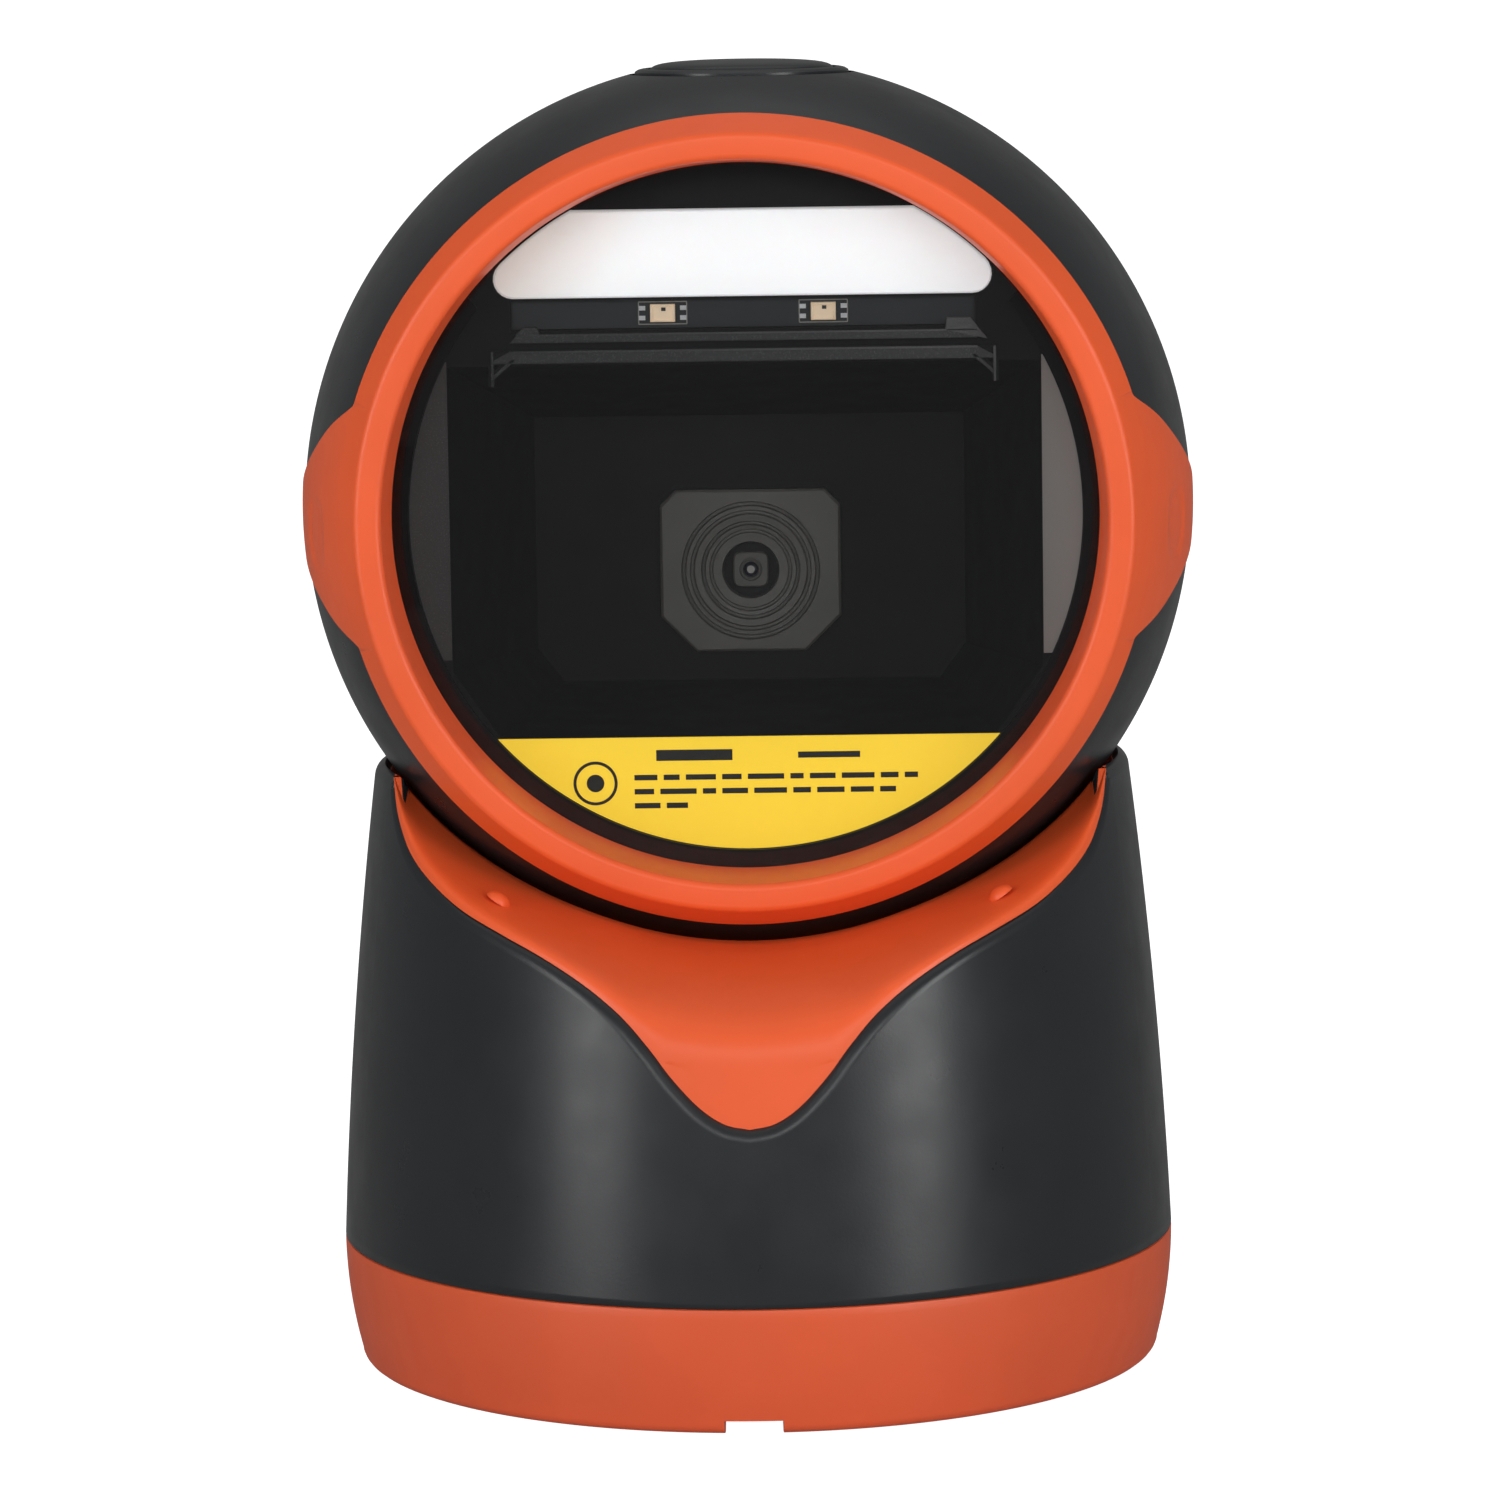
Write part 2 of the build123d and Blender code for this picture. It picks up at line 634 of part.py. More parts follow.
with BuildPart() as head_rear:
    add(hollow_ball(0, ball_r + 5))
    add(seam_groove.part, mode=Mode.SUBTRACT)
    add(wing_pocket, mode=Mode.SUBTRACT)
    add(boss_solid(0, 40))
    with BuildSketch(button_plane.offset(30)):
        Circle(button_rim_r + fit)
    extrude(amount=40, mode=Mode.SUBTRACT)
    for radius, angle in boss_places:
        place = around(radius, angle)
        with BuildSketch(facing(y_screw_seat)):
            with Locations((place.X, place.Y)):
                Circle(screw_head_r + 0.3)
        extrude(amount=-30, mode=Mode.SUBTRACT)
        with BuildSketch(facing(y_screw_seat)):
            with Locations((place.X, place.Y)):
                Circle(screw_hole_r + 0.2)
        extrude(amount=30, mode=Mode.SUBTRACT)
    add(switch_pillars.part)
    with BuildSketch(button_plane.offset(h_switch_board)):
        with Locations(*switch_posts):
            Circle(screw_hole_r)
    extrude(amount=4.6, mode=Mode.SUBTRACT)
    with BuildSketch(side_plane().offset(-slot_half)):
        with BuildLine():
            Polyline((0, 0), slot_low_end, slot_high_end, (0, 0))
        make_face()
    extrude(amount=2 * slot_half, mode=Mode.SUBTRACT)
save(head_rear.part, "head_rear")

rear_spots = [around(*place) for place in boss_places]
screws("rear_screws", [Plane(origin=centre + Vector(spot.X, y_screw_seat, spot.Y), z_dir=(0, 1, 0))
                       for spot in rear_spots], y_screw_seat - y_ear + 1.6)

# ------------------------------------------------------------------ bezel with its wings
bezel_base_r = sqrt(ball_r**2 - y_cut**2)
grip = (-19.5, -15.0, 5.0)  # finger recess: depths and half height
with BuildPart() as grip_recess:
    with BuildSketch(side_plane().offset(-60)):
        with Locations(((grip[0] + grip[1]) / 2, 0)):
            RectangleRounded(grip[1] - grip[0], 2 * grip[2], 2.0)
    extrude(amount=120)
    add(ball(ball_r - 0.1), mode=Mode.SUBTRACT)

with BuildPart() as bezel:
    with BuildSketch(side_plane()):
        with BuildLine():
            Polyline((y_cut, bezel_base_r), (y_bezel, bezel_front_r), (y_bezel, bezel_inner_r),
                     (y_window, window_r), (y_window, skirt_r - skirt_wall), (y_skirt, skirt_r - skirt_wall),
                     (y_skirt, skirt_r), (y_cut, skirt_r), (y_cut, bezel_base_r))
        make_face()
    revolve(axis=view_axis)
    rim = bezel.edges().filter_by(GeomType.CIRCLE).filter_by(
        lambda edge: abs(edge.center().Y - y_bezel) < 0.01)
    fillet(rim, radius=0.7)
    add(wing_solid(ball_r - wing_depth, ball_r + wing_rise, 0))
    add(grip_recess.part, mode=Mode.SUBTRACT)
save(bezel.part, "bezel")

# ------------------------------------------------------------------ window and mask
pane_r = skirt_r - skirt_wall - fit


def bar_outline(grow):
    """Outline of the diffuser bar: flat top and bottom, ends on an arc, soft lower corners."""
    with BuildSketch() as outline:
        Circle(bar_r + grow)
        with Locations((0, (bar_low + bar_high) / 2)):
            Rectangle(2 * bar_r, bar_high - bar_low + 2 * grow, mode=Mode.INTERSECT)
        fillet(outline.vertices().group_by(Axis.Y)[0], radius=2.3)
        fillet(outline.vertices().group_by(Axis.Y)[-1], radius=0.6)
    return outline.sketch


with BuildPart() as window_pane:
    with BuildSketch(facing(y_pane_back)):
        Circle(pane_r)
    extrude(amount=pane_t)
    chamfer(window_pane.edges(), length=0.2)
save(window_pane.part, "window_pane")

with BuildPart() as window_mask:
    with BuildSketch(facing(y_flange)):
        Circle(pane_r)
        Circle(mask_in_r, mode=Mode.SUBTRACT)
        add(bar_outline(fit), mode=Mode.SUBTRACT)
    extrude(amount=mask_t)
save(window_mask.part, "window_mask")

# ------------------------------------------------------------------ optical frame with its tunnel
corner_x = sqrt((mask_in_r - 0.4)**2 - tunnel_bottom**2)
corner_h = -sqrt((mask_in_r - 0.4)**2 - tunnel_x**2)
mouth_points = [(tunnel_x, tunnel_top), (tunnel_x, corner_h), (corner_x, tunnel_bottom)]
back_points = [(back_x, back_top), (back_x, back_bottom + 4), (back_x - 3, back_bottom)]
ledge_t = 0.7
board_pins = [(x, lens_h + h) for x in (-13, 13) for h in (-7, 7)]
main_pins = [(x, h) for x in (-20.5, 20.5) for h in (-14, 6)]
y_cam_board, y_main_board = 17.0, 25.0
pcb_t = 1.2
cut_top, cut_bottom = 1.8, 4.1  # corner cuts of the camera plate


def funnel(grow):
    """Inside of the tunnel, from its wide mouth to its back, grown by a wall."""
    with BuildPart(mode=Mode.PRIVATE) as solid:
        for y, half in ((y_flange, mouth_points), (y_tunnel_back, back_points)):
            with BuildSketch(facing(y)):
                with BuildLine():
                    left = [(-x, h) for x, h in reversed(half)]
                    Polyline(*half, *left, half[0])
                make_face()
                if grow:
                    offset(amount=grow, kind=Kind.INTERSECTION)
        loft(ruled=True)
    return solid.part


def plate_outline(grow):
    """Octagonal outline of the camera plate, round the lens."""
    x, h = plate_x + grow, plate_h + grow
    with BuildSketch() as outline:
        with BuildLine():
            half = [(x - cut_top, h), (x, h - cut_top), (x, cut_bottom - h), (x - cut_bottom, -h)]
            left = [(-a, b) for a, b in reversed(half)]
            Polyline(*half, *left, half[0])
        make_face()
    return Pos(0, lens_h) * outline.sketch


with BuildPart() as optical_frame:
    with BuildSketch(facing(y_flange_back)):
        Circle(pane_r)
    extrude(amount=flange_t)
    add(funnel(tunnel_wall))
    with BuildSketch(facing(y_tunnel_back + tunnel_wall)):
        with BuildLine():
            left = [(-x, h) for x, h in reversed(back_points)]
            Polyline(*back_points, *left, back_points[0])
        make_face()
        offset(amount=tunnel_wall, kind=Kind.INTERSECTION)
    extrude(amount=tunnel_wall)
    add(funnel(0), mode=Mode.SUBTRACT)
    for radius, angle in boss_places:
        place = around(radius, angle)
        with BuildSketch(facing(y_ear)):
            with Locations((place.X, place.Y)):
                Circle(boss_r)
        extrude(amount=y_ear - y_flange_back)
        with BuildSketch(facing(y_ear)):
            with Locations((place.X, place.Y)):
                Circle(screw_hole_r)
        extrude(amount=2.0, mode=Mode.SUBTRACT)
    add(funnel(0), mode=Mode.SUBTRACT)
    for half_x, low, high in (rail_1, rail_2):
        with BuildSketch(facing(y_flange)):
            with Locations((0, (low + high) / 2)):
                RectangleRounded(2 * half_x, high - low, 0.5)
        extrude(amount=ledge_t)
    for side in (-1, 1):
        with BuildSketch(facing(y_flange + flange_t)):
            with Locations((side * gusset_x, (gusset_low + gusset_top) / 2)):
                Rectangle(gusset_t, gusset_top - gusset_low)
            with BuildLine():
                Polyline((side * strut_x, gusset_top), (side * gusset_x, gusset_low + 1.6),
                         (side * gusset_x, gusset_low + 0.8), (side * (strut_x - 1), gusset_top),
                         (side * strut_x, gusset_top))
            make_face()
        extrude(amount=flange_t + ledge_t)
    with BuildSketch(facing(y_flange_back)):
        add(bar_outline(fit))
    extrude(amount=flange_t, mode=Mode.SUBTRACT)
    with BuildSketch(facing(y_flange_back)):
        with Locations((0, (strip_low + strip_high) / 2)):
            Rectangle(2 * (strip_x - 1), strip_high - strip_low)
    extrude(amount=flange_t, mode=Mode.SUBTRACT)
    for pins, y_end, pin_r in ((board_pins, y_cam_board, 1.9), (main_pins, y_main_board, 2.3)):
        with BuildSketch(facing(y_end)):
            with Locations(*pins):
                Circle(pin_r)
        extrude(amount=y_end - y_tunnel_back - tunnel_wall)
        with BuildSketch(facing(y_end)):
            with Locations(*pins):
                Circle(screw_hole_r)
        extrude(amount=2.6, mode=Mode.SUBTRACT)
    with BuildSketch(facing(y_tunnel_back + tunnel_wall)):
        add(plate_outline(fit))
    extrude(amount=tunnel_wall, mode=Mode.SUBTRACT)
save(optical_frame.part, "optical_frame")

# ------------------------------------------------------------------ label plate and side flats
skin_t = 0.2
with BuildPart() as label_plate:
    with BuildSketch(facing(y_flange)):
        Circle(mask_in_r - fit)
        with Locations((0, label_top)):
            Rectangle(90, 60, align=(Align.CENTER, Align.MAX), mode=Mode.INTERSECT)
    extrude(amount=skin_t)
save(label_plate.part, "label_plate")

flat_top, flat_bottom = 17.6, -16.0
with BuildPart() as side_flats:
    with BuildSketch(facing(y_flange)):
        Circle(mask_in_r - fit)
        with Locations((0, (flat_top + flat_bottom) / 2)):
            Rectangle(90, flat_top - flat_bottom, mode=Mode.INTERSECT)
        Rectangle(2 * tunnel_x + 0.2, 90, mode=Mode.SUBTRACT)
    extrude(amount=skin_t)
save(side_flats.part, "side_flats")

# ------------------------------------------------------------------ lights
bar_t = 3.4
with BuildPart() as diffuser_bar:
    with BuildSketch(facing(y_pane_back + bar_t)):
        add(bar_outline(0))
    extrude(amount=bar_t)
save(diffuser_bar.part, "diffuser_bar")

y_light_board, light_board_x = -8.4, 17.2
h_light_board = (bar_low + bar_high) / 2
with BuildPart() as light_board:
    with BuildSketch(facing(y_light_board)):
        with Locations((0, h_light_board)):
            RectangleRounded(2 * light_board_x, 8.0, 0.8)
    extrude(amount=pcb_t)
save(light_board.part, "light_board")

with BuildPart() as white_leds:
    with BuildSketch(facing(y_light_board - pcb_t)):
        with Locations((0, h_light_board)):
            with GridLocations(6.4, 0, 5, 1):
                RectangleRounded(3.0, 3.0, 0.3)
    extrude(amount=1.2)
save(white_leds.part, "white_leds")

with BuildPart() as led_board:
    with BuildSketch(facing(y_flange_back + pcb_t)):
        with Locations((0, (strip_low + strip_high) / 2)):
            Rectangle(2 * strip_x - 1.4, strip_high - strip_low - 0.1)
    extrude(amount=pcb_t)
save(led_board.part, "led_board")

with BuildPart() as indicator_leds:
    for side in (-1, 1):
        with BuildSketch(facing(y_flange_back)):
            with Locations((side * led_x, led_h)):
                Rectangle(3.0, 2.0)
        extrude(amount=0.9)
    chamfer(indicator_leds.edges().group_by(Axis.Y)[0], length=0.2)
save(indicator_leds.part, "indicator_leds")

with BuildPart() as led_pads:
    with BuildSketch(facing(y_flange_back)):
        for side in (-1, 1):
            with Locations((side * led_x, led_h)):
                with GridLocations(4.6, 1.1, 2, 2):
                    Rectangle(0.7, 0.5)
    extrude(amount=0.1)
save(led_pads.part, "led_pads")

# ------------------------------------------------------------------ camera
y_plate_front = y_tunnel_back - 0.9
plate_t2 = y_tunnel_back + tunnel_wall - y_plate_front
ring_steps = [(8.0, 0.35), (7.4, 0.7), (5.4, 1.05), (4.5, 1.4)]  # radius and depth of each step
well_r = 3.3
with BuildPart() as camera_plate:
    with BuildSketch(facing(y_plate_front + plate_t2)):
        add(plate_outline(0))
    extrude(amount=plate_t2)
    for radius, depth in ring_steps:
        with BuildSketch(facing(y_plate_front)):
            with Locations((0, lens_h)):
                Circle(radius)
        extrude(amount=-depth, mode=Mode.SUBTRACT)
    with BuildSketch(facing(y_plate_front)):
        with Locations((0, lens_h)):
            Circle(well_r)
    extrude(amount=-plate_t2, mode=Mode.SUBTRACT)
save(camera_plate.part, "camera_plate")

y_barrel = y_plate_front + 1.2
with BuildPart() as lens_barrel:
    with BuildSketch(facing(y_cam_board - 1.4)):
        with Locations((0, lens_h)):
            Circle(well_r - fit)
    extrude(amount=y_cam_board - 1.4 - y_barrel - 0.6)
    with BuildSketch(facing(y_barrel + 0.6)):
        with Locations((0, lens_h)):
            RectangleRounded(4.4, 4.4, 0.8)
    extrude(amount=0.6)
    with BuildSketch(facing(y_barrel)):
        with Locations((0, lens_h)):
            Circle(1.1)
    extrude(amount=-0.9, taper=12, mode=Mode.SUBTRACT)
save(lens_barrel.part, "lens_barrel")

with BuildPart() as lens:
    with BuildSketch(facing(y_barrel + 0.9)):
        with Locations((0, lens_h)):
            Circle(0.85)
    extrude(amount=0.5)
    fillet(lens.edges().group_by(Axis.Y)[0], radius=0.3)
save(lens.part, "lens")

with BuildPart() as camera_board:
    with BuildSketch(facing(y_cam_board + pcb_t)):
        with Locations((0, lens_h)):
            RectangleRounded(31, 19, 1)
        with Locations(*board_pins):
            Circle(screw_hole_r, mode=Mode.SUBTRACT)
    extrude(amount=pcb_t)
save(camera_board.part, "camera_board")

with BuildPart() as image_sensor:
    with BuildSketch(facing(y_cam_board)):
        with Locations((0, lens_h)):
            RectangleRounded(6.5, 5.5, 0.3)
    extrude(amount=1.2)
save(image_sensor.part, "image_sensor")

with BuildPart() as main_board:
    with BuildSketch(facing(y_main_board + pcb_t)):
        RectangleRounded(47, 35, 2)
        with Locations(*main_pins):
            Circle(screw_hole_r, mode=Mode.SUBTRACT)
    extrude(amount=pcb_t)
save(main_board.part, "main_board")

y_main_back = y_main_board + pcb_t
# Chips and sockets on the main board: centre, width, height and thickness of each
main_chips = [(-6, 3, 12, 12, 1.4), (9, 5, 8, 8, 1.2), (9, -6, 7, 5, 1.0), (-12, -10, 4, 4, 0.9)]
main_sockets = [(0, -14.2, 10, 4.4, 4.2), (0, 14.6, 7, 4, 3.6)]
with BuildPart() as decoder_chips:
    for x, h, w, t, depth in main_chips:
        with BuildSketch(facing(y_main_back + depth)):
            with Locations((x, h)):
                Rectangle(w, t)
        extrude(amount=depth)
save(decoder_chips.part, "decoder_chips")

with BuildPart() as board_sockets:
    for x, h, w, t, depth in main_sockets:
        with BuildSketch(facing(y_main_back + depth)):
            with Locations((x, h)):
                Rectangle(w, t)
        extrude(amount=depth)
save(board_sockets.part, "board_sockets")

screws("camera_screws", [Plane(origin=centre + Vector(x, y_cam_board + pcb_t, h), z_dir=(0, 1, 0))
                         for x, h in board_pins], 3.4, head_r=2.1)
screws("main_screws", [Plane(origin=centre + Vector(x, y_main_back, h), z_dir=(0, 1, 0))
                       for x, h in main_pins], 3.4)

# ------------------------------------------------------------------ top button
h_ring_low, h_ring_flange, ring_flange_r = 44.9, 46.0, 14.2
ring_top_r = ball_r - 0.5
button_dome_r = ball_r - button_sunk
stem_r, h_stem, h_switch_top = 1.5, 40.6, 41.2

with BuildPart() as button_bezel:
    with BuildSketch(button_plane.offset(h_ring_low)):
        Circle(button_rim_r)
    extrude(amount=8)
    add(ball(ring_top_r), mode=Mode.INTERSECT)
    with BuildSketch(button_plane.offset(h_ring_low)):
        Circle(ring_flange_r)
    extrude(amount=h_ring_flange - h_ring_low)
    with BuildSketch(button_plane.offset(h_ring_low)):
        Circle(button_r + 0.1)
    extrude(amount=8, mode=Mode.SUBTRACT)
save(button_bezel.part, "button_bezel")

with BuildPart() as trigger_button:
    with BuildSketch(button_plane.offset(h_ring_low - 1.2)):
        Circle(button_r)
    extrude(amount=12)
    add(ball(button_dome_r), mode=Mode.INTERSECT)
    dome_edge = trigger_button.edges().filter_by(GeomType.CIRCLE).filter_by(
        lambda edge: abs(edge.radius - button_r) < 0.01)
    fillet(dome_edge.sort_by(Axis.Z)[-1], radius=0.4)
    with BuildSketch(button_plane.offset(h_ring_low - 1.2)):
        Circle(button_r + 1.1)
    extrude(amount=1.0)
    with BuildSketch(button_plane.offset(h_ring_low - 1.2)):
        Circle(button_r - 1.6)
    extrude(amount=4.4, mode=Mode.SUBTRACT)
    with BuildSketch(button_plane.offset(h_stem)):
        Circle(stem_r)
    extrude(amount=9)
save(trigger_button.part, "trigger_button")

with BuildPart() as switch_board:
    with BuildSketch(button_plane.offset(h_switch_board)):
        with Locations((0, 4)):
            RectangleRounded(34, 17, 2)
        with Locations(*switch_posts):
            Circle(screw_hole_r, mode=Mode.SUBTRACT)
    extrude(amount=-pcb_t)
save(switch_board.part, "switch_board")

with BuildPart() as top_switch:
    with BuildSketch(button_plane.offset(h_switch_board)):
        RectangleRounded(6.2, 6.2, 0.4)
    extrude(amount=h_switch_top - h_switch_board)
    with BuildSketch(button_plane.offset(h_switch_top)):
        Circle(stem_r + 0.1)
    extrude(amount=-1.4, mode=Mode.SUBTRACT)
save(top_switch.part, "top_switch")

screws("switch_screws", [Plane(origin=centre + Vector(x, y, h_switch_board - pcb_t), z_dir=(0, 0, -1))
                         for x, y in switch_posts], 5)
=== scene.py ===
"""Looks of a desktop presentation barcode scanner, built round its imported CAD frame.

Lengths are in metres. The ball's pieces are turned round its view axis (along Y) or round the
vertical; the base's pieces are grids that follow the curve where black shell and orange inlay meet.
"""

import json
from math import acos, asin, atan2, comb, copysign, cos, degrees, hypot, pi, radians, sin, sqrt, tan

import bpy
import bmesh
import numpy as np
from mathutils import Matrix, Vector


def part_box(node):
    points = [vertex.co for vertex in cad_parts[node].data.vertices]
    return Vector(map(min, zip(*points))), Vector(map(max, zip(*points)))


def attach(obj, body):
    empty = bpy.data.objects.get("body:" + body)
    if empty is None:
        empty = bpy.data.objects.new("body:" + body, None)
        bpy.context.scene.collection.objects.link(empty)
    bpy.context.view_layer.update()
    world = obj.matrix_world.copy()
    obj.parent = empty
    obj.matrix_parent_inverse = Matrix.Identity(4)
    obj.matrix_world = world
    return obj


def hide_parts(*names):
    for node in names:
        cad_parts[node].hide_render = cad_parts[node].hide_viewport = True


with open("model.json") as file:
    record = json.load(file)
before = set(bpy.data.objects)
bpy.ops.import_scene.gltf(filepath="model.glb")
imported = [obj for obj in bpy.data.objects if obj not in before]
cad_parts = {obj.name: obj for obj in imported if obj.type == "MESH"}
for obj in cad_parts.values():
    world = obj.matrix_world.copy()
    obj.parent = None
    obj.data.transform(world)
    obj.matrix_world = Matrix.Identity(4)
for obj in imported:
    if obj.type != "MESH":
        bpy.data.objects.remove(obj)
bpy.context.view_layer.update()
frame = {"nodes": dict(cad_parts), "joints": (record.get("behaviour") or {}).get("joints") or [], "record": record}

MM = 0.001
TAU = 2 * pi

# ---------------- sizes shared with the CAD model
tilt = next(j for j in frame["joints"] if j["name"] == "head_tilt")
BALL = Vector(tilt["pos_m"])
BALL_R = 50.6 * MM
BALL_WALL = 2.2 * MM
WING_RISE = 0.3 * MM
Y_CUT = -23.2 * MM  # depth where the bezel ring meets the ball, from the ball's centre
Y_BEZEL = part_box("bezel")[0].y
Y_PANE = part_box("window_pane")[0].y
Y_MASK_FRONT, Y_MASK_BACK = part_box("window_mask")[0].y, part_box("window_mask")[1].y
BEZEL_FRONT_R, BEZEL_IN_R, WINDOW_R = 43.1 * MM, 40.25 * MM, 39.6 * MM
SKIRT_R, SKIRT_WALL, Y_SKIRT = 42.2 * MM, 1.2 * MM, -13.0 * MM
MASK_IN_R = 37.9 * MM
Z_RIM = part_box("base_shell")[1].z
Z_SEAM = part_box("base_ring")[1].z
Z_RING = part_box("base_ring")[0].z - 0.3 * MM
SEAM_R, WAIST_R, RIM_R, RING_FOOT_R = 47.88 * MM, 45.9 * MM, 43.15 * MM, 45.8 * MM
Z_WAIST = 44.0 * MM
BASE_WALL = 2.2 * MM
CUP_R = 51.2 * MM
BUTTON_R, BUTTON_RIM_R = 10.5 * MM, 12.4 * MM
LENS = Vector((0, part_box("camera_plate")[0].y, BALL.z - 9.15 * MM))


# ---------------- mesh kit
def finish_mesh(name, mesh, slot, replaces=(), sharp=40, body="head", look=None):
    """Links a mesh as a piece that rides on a body, smooth apart from edges sharper than an angle."""
    mesh.name = name
    mesh.materials.clear()
    mesh.materials.append(look or LOOKS[slot])
    mesh.shade_smooth()
    mesh.set_sharp_from_angle(angle=radians(sharp))
    piece = bpy.data.objects.new(name, mesh)
    bpy.context.scene.collection.objects.link(piece)
    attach(piece, body)
    if replaces:
        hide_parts(*replaces)
    return piece


def mesh_of(verts, faces):
    """A mesh with merged doubles and outward faces."""
    work = bmesh.new()
    made = [work.verts.new(v) for v in verts]
    for face in faces:
        corners = [made[i] for i in face]
        if len(set(corners)) == len(corners):
            work.faces.new(corners)
    bmesh.ops.remove_doubles(work, verts=work.verts, dist=2e-7)
    bmesh.ops.dissolve_degenerate(work, dist=1e-7, edges=work.edges)
    bmesh.ops.recalc_face_normals(work, faces=work.faces)
    mesh = bpy.data.meshes.new("mesh")
    work.to_mesh(mesh)
    work.free()
    return mesh


def grid_mesh(columns, wrap_columns=True, wrap_rows=True):
    """A mesh from equal lists of points; wrapped both ways it is a closed ring."""
    count, rows = len(columns), len(columns[0])
    verts = [point for column in columns for point in column]
    faces = []
    for i in range(count if wrap_columns else count - 1):
        for j in range(rows if wrap_rows else rows - 1):
            k, m = (i + 1) % count, (j + 1) % rows
            faces.append((i * rows + j, k * rows + j, k * rows + m, i * rows + m))
    if not wrap_columns and wrap_rows:
        faces.append(tuple(range(rows)))
        faces.append(tuple((count - 1) * rows + j for j in reversed(range(rows))))
    return mesh_of(verts, faces)


def rounded(points, radii, steps=6):
    """A closed outline with arcs in its corners; a radius of 0 keeps a corner."""
    out = []
    for i, (corner, radius) in enumerate(zip(points, radii)):
        here = Vector(corner)
        if not radius:
            out.append(here)
            continue
        before = (Vector(points[i - 1]) - here).normalized()
        after = (Vector(points[(i + 1) % len(points)]) - here).normalized()
        half = before.angle(after) / 2
        reach = radius / tan(half)
        middle = here + (before + after).normalized() * radius / sin(half)
        start = (here + before * reach - middle).normalized()
        end = (here + after * reach - middle).normalized()
        for s in range(steps + 1):
            out.append(middle + start.slerp(end, s / steps) * radius)
    return out


def about_view(radius, y, angle):
    """Point at a radius from the ball's view axis; angle 0 is straight up, clockwise from the front."""
    return Vector((radius * sin(angle), y, BALL.z + radius * cos(angle)))


def about_lens(radius, y, angle):
    """Point at a radius from the lens axis, counted in the same way."""
    return Vector((radius * sin(angle), y, LENS.z + radius * cos(angle)))


def about_vertical(radius, z, angle):
    """Point at a radius from the vertical axis; angle 0 is the front, growing towards +X."""
    return Vector((radius * sin(angle), -radius * cos(angle), z))


def lathe(outline, place, segments=256):
    """A closed outline of (along, radius), or a function of the angle that gives one, turned by a place function."""
    columns = []
    for i in range(segments):
        angle = TAU * i / segments
        points = outline(angle) if callable(outline) else outline
        columns.append([place(max(p[1], 0.0), p[0], angle) for p in points])
    return grid_mesh(columns)


def curve_through(points, steps):
    """A smooth open curve (Catmull-Rom) through points, with even steps in each span."""
    pts = [Vector(p) for p in points]
    ends = [2 * pts[0] - pts[1]] + pts + [2 * pts[-1] - pts[-2]]
    out = []
    for i in range(1, len(ends) - 2):
        a, b, c, d = ends[i - 1:i + 3]
        for s in range(steps):
            t = s / steps
            out.append(0.5 * (2 * b + (c - a) * t + (2 * a - 5 * b + 4 * c - d) * t * t
                              + (3 * b - a - 3 * c + d) * t ** 3))
    out.append(pts[-1])
    return out


def cut(mesh, cutters):
    """The mesh with closed cutter meshes taken away by exact booleans."""
    body = bpy.data.objects.new("cut_body", mesh)
    bpy.context.scene.collection.objects.link(body)
    tools = []
    for i, cutter in enumerate(cutters):
        tool = bpy.data.objects.new(f"cutter_{i}", cutter)
        bpy.context.scene.collection.objects.link(tool)
        step = body.modifiers.new(f"cut_{i}", "BOOLEAN")
        step.operation = "DIFFERENCE"
        step.solver = "EXACT"
        step.object = tool
        tools.append(tool)
    result = bpy.data.meshes.new_from_object(body.evaluated_get(bpy.context.evaluated_depsgraph_get()))
    for thing in [body] + tools:
        old = thing.data
        bpy.data.objects.remove(thing)
        bpy.data.meshes.remove(old)
    return result


def prism(outline, direction):
    """A closed mesh of a 3-D outline carried along a vector."""
    count = len(outline)
    verts = [Vector(p) for p in outline] + [Vector(p) + direction for p in outline]
    faces = [tuple(range(count)), tuple(range(2 * count - 1, count - 1, -1))]
    faces += [(i, (i + 1) % count, count + (i + 1) % count, count + i) for i in range(count)]
    return mesh_of(verts, faces)


def rod(start, direction, radius, segments=64):
    """A closed cylinder mesh, for cutting holes."""
    axis = direction.normalized()
    side = axis.orthogonal().normalized()
    other = axis.cross(side)
    ring = [start + radius * (side * cos(TAU * i / segments) + other * sin(TAU * i / segments))
            for i in range(segments)]
    return prism(ring, direction)


def true_normals(mesh, rule):
    """Gives each corner the exact normal that rule(point) returns, or its face's where it returns None."""
    normals = []
    for face in mesh.polygons:
        found = [rule(mesh.vertices[i].co, face.normal) for i in face.vertices]
        flat = any(n is None for n in found)
        normals += [face.normal.copy() if flat else n for n in found]
    mesh.normals_split_custom_set(normals)


# ---------------- materials
def put(node, name, value):
    """Sets the value of one input of a shader node."""
    node.inputs[name].default_value = value


def new_material(name):
    """A material, its node tree, its Principled shader, and the object coordinates."""
    material = bpy.data.materials.new(name)
    material.use_nodes = True
    tree = material.node_tree
    shader = tree.nodes["Principled BSDF"]
    place = tree.nodes.new("ShaderNodeTexCoord").outputs["Object"]
    return material, tree, shader, place


def noise(tree, place, scale, detail=3.0, rough=0.5, stretch=None):
    """Noise in object space; scale is in features per metre."""
    node = tree.nodes.new("ShaderNodeTexNoise")
    put(node, "Scale", scale)
    put(node, "Detail", detail)
    put(node, "Roughness", rough)
    if stretch:
        mapping = tree.nodes.new("ShaderNodeMapping")
        put(mapping, "Scale", stretch)
        tree.links.new(place, mapping.inputs["Vector"])
        place = mapping.outputs["Vector"]
    tree.links.new(place, node.inputs["Vector"])
    return node.outputs["Fac"]


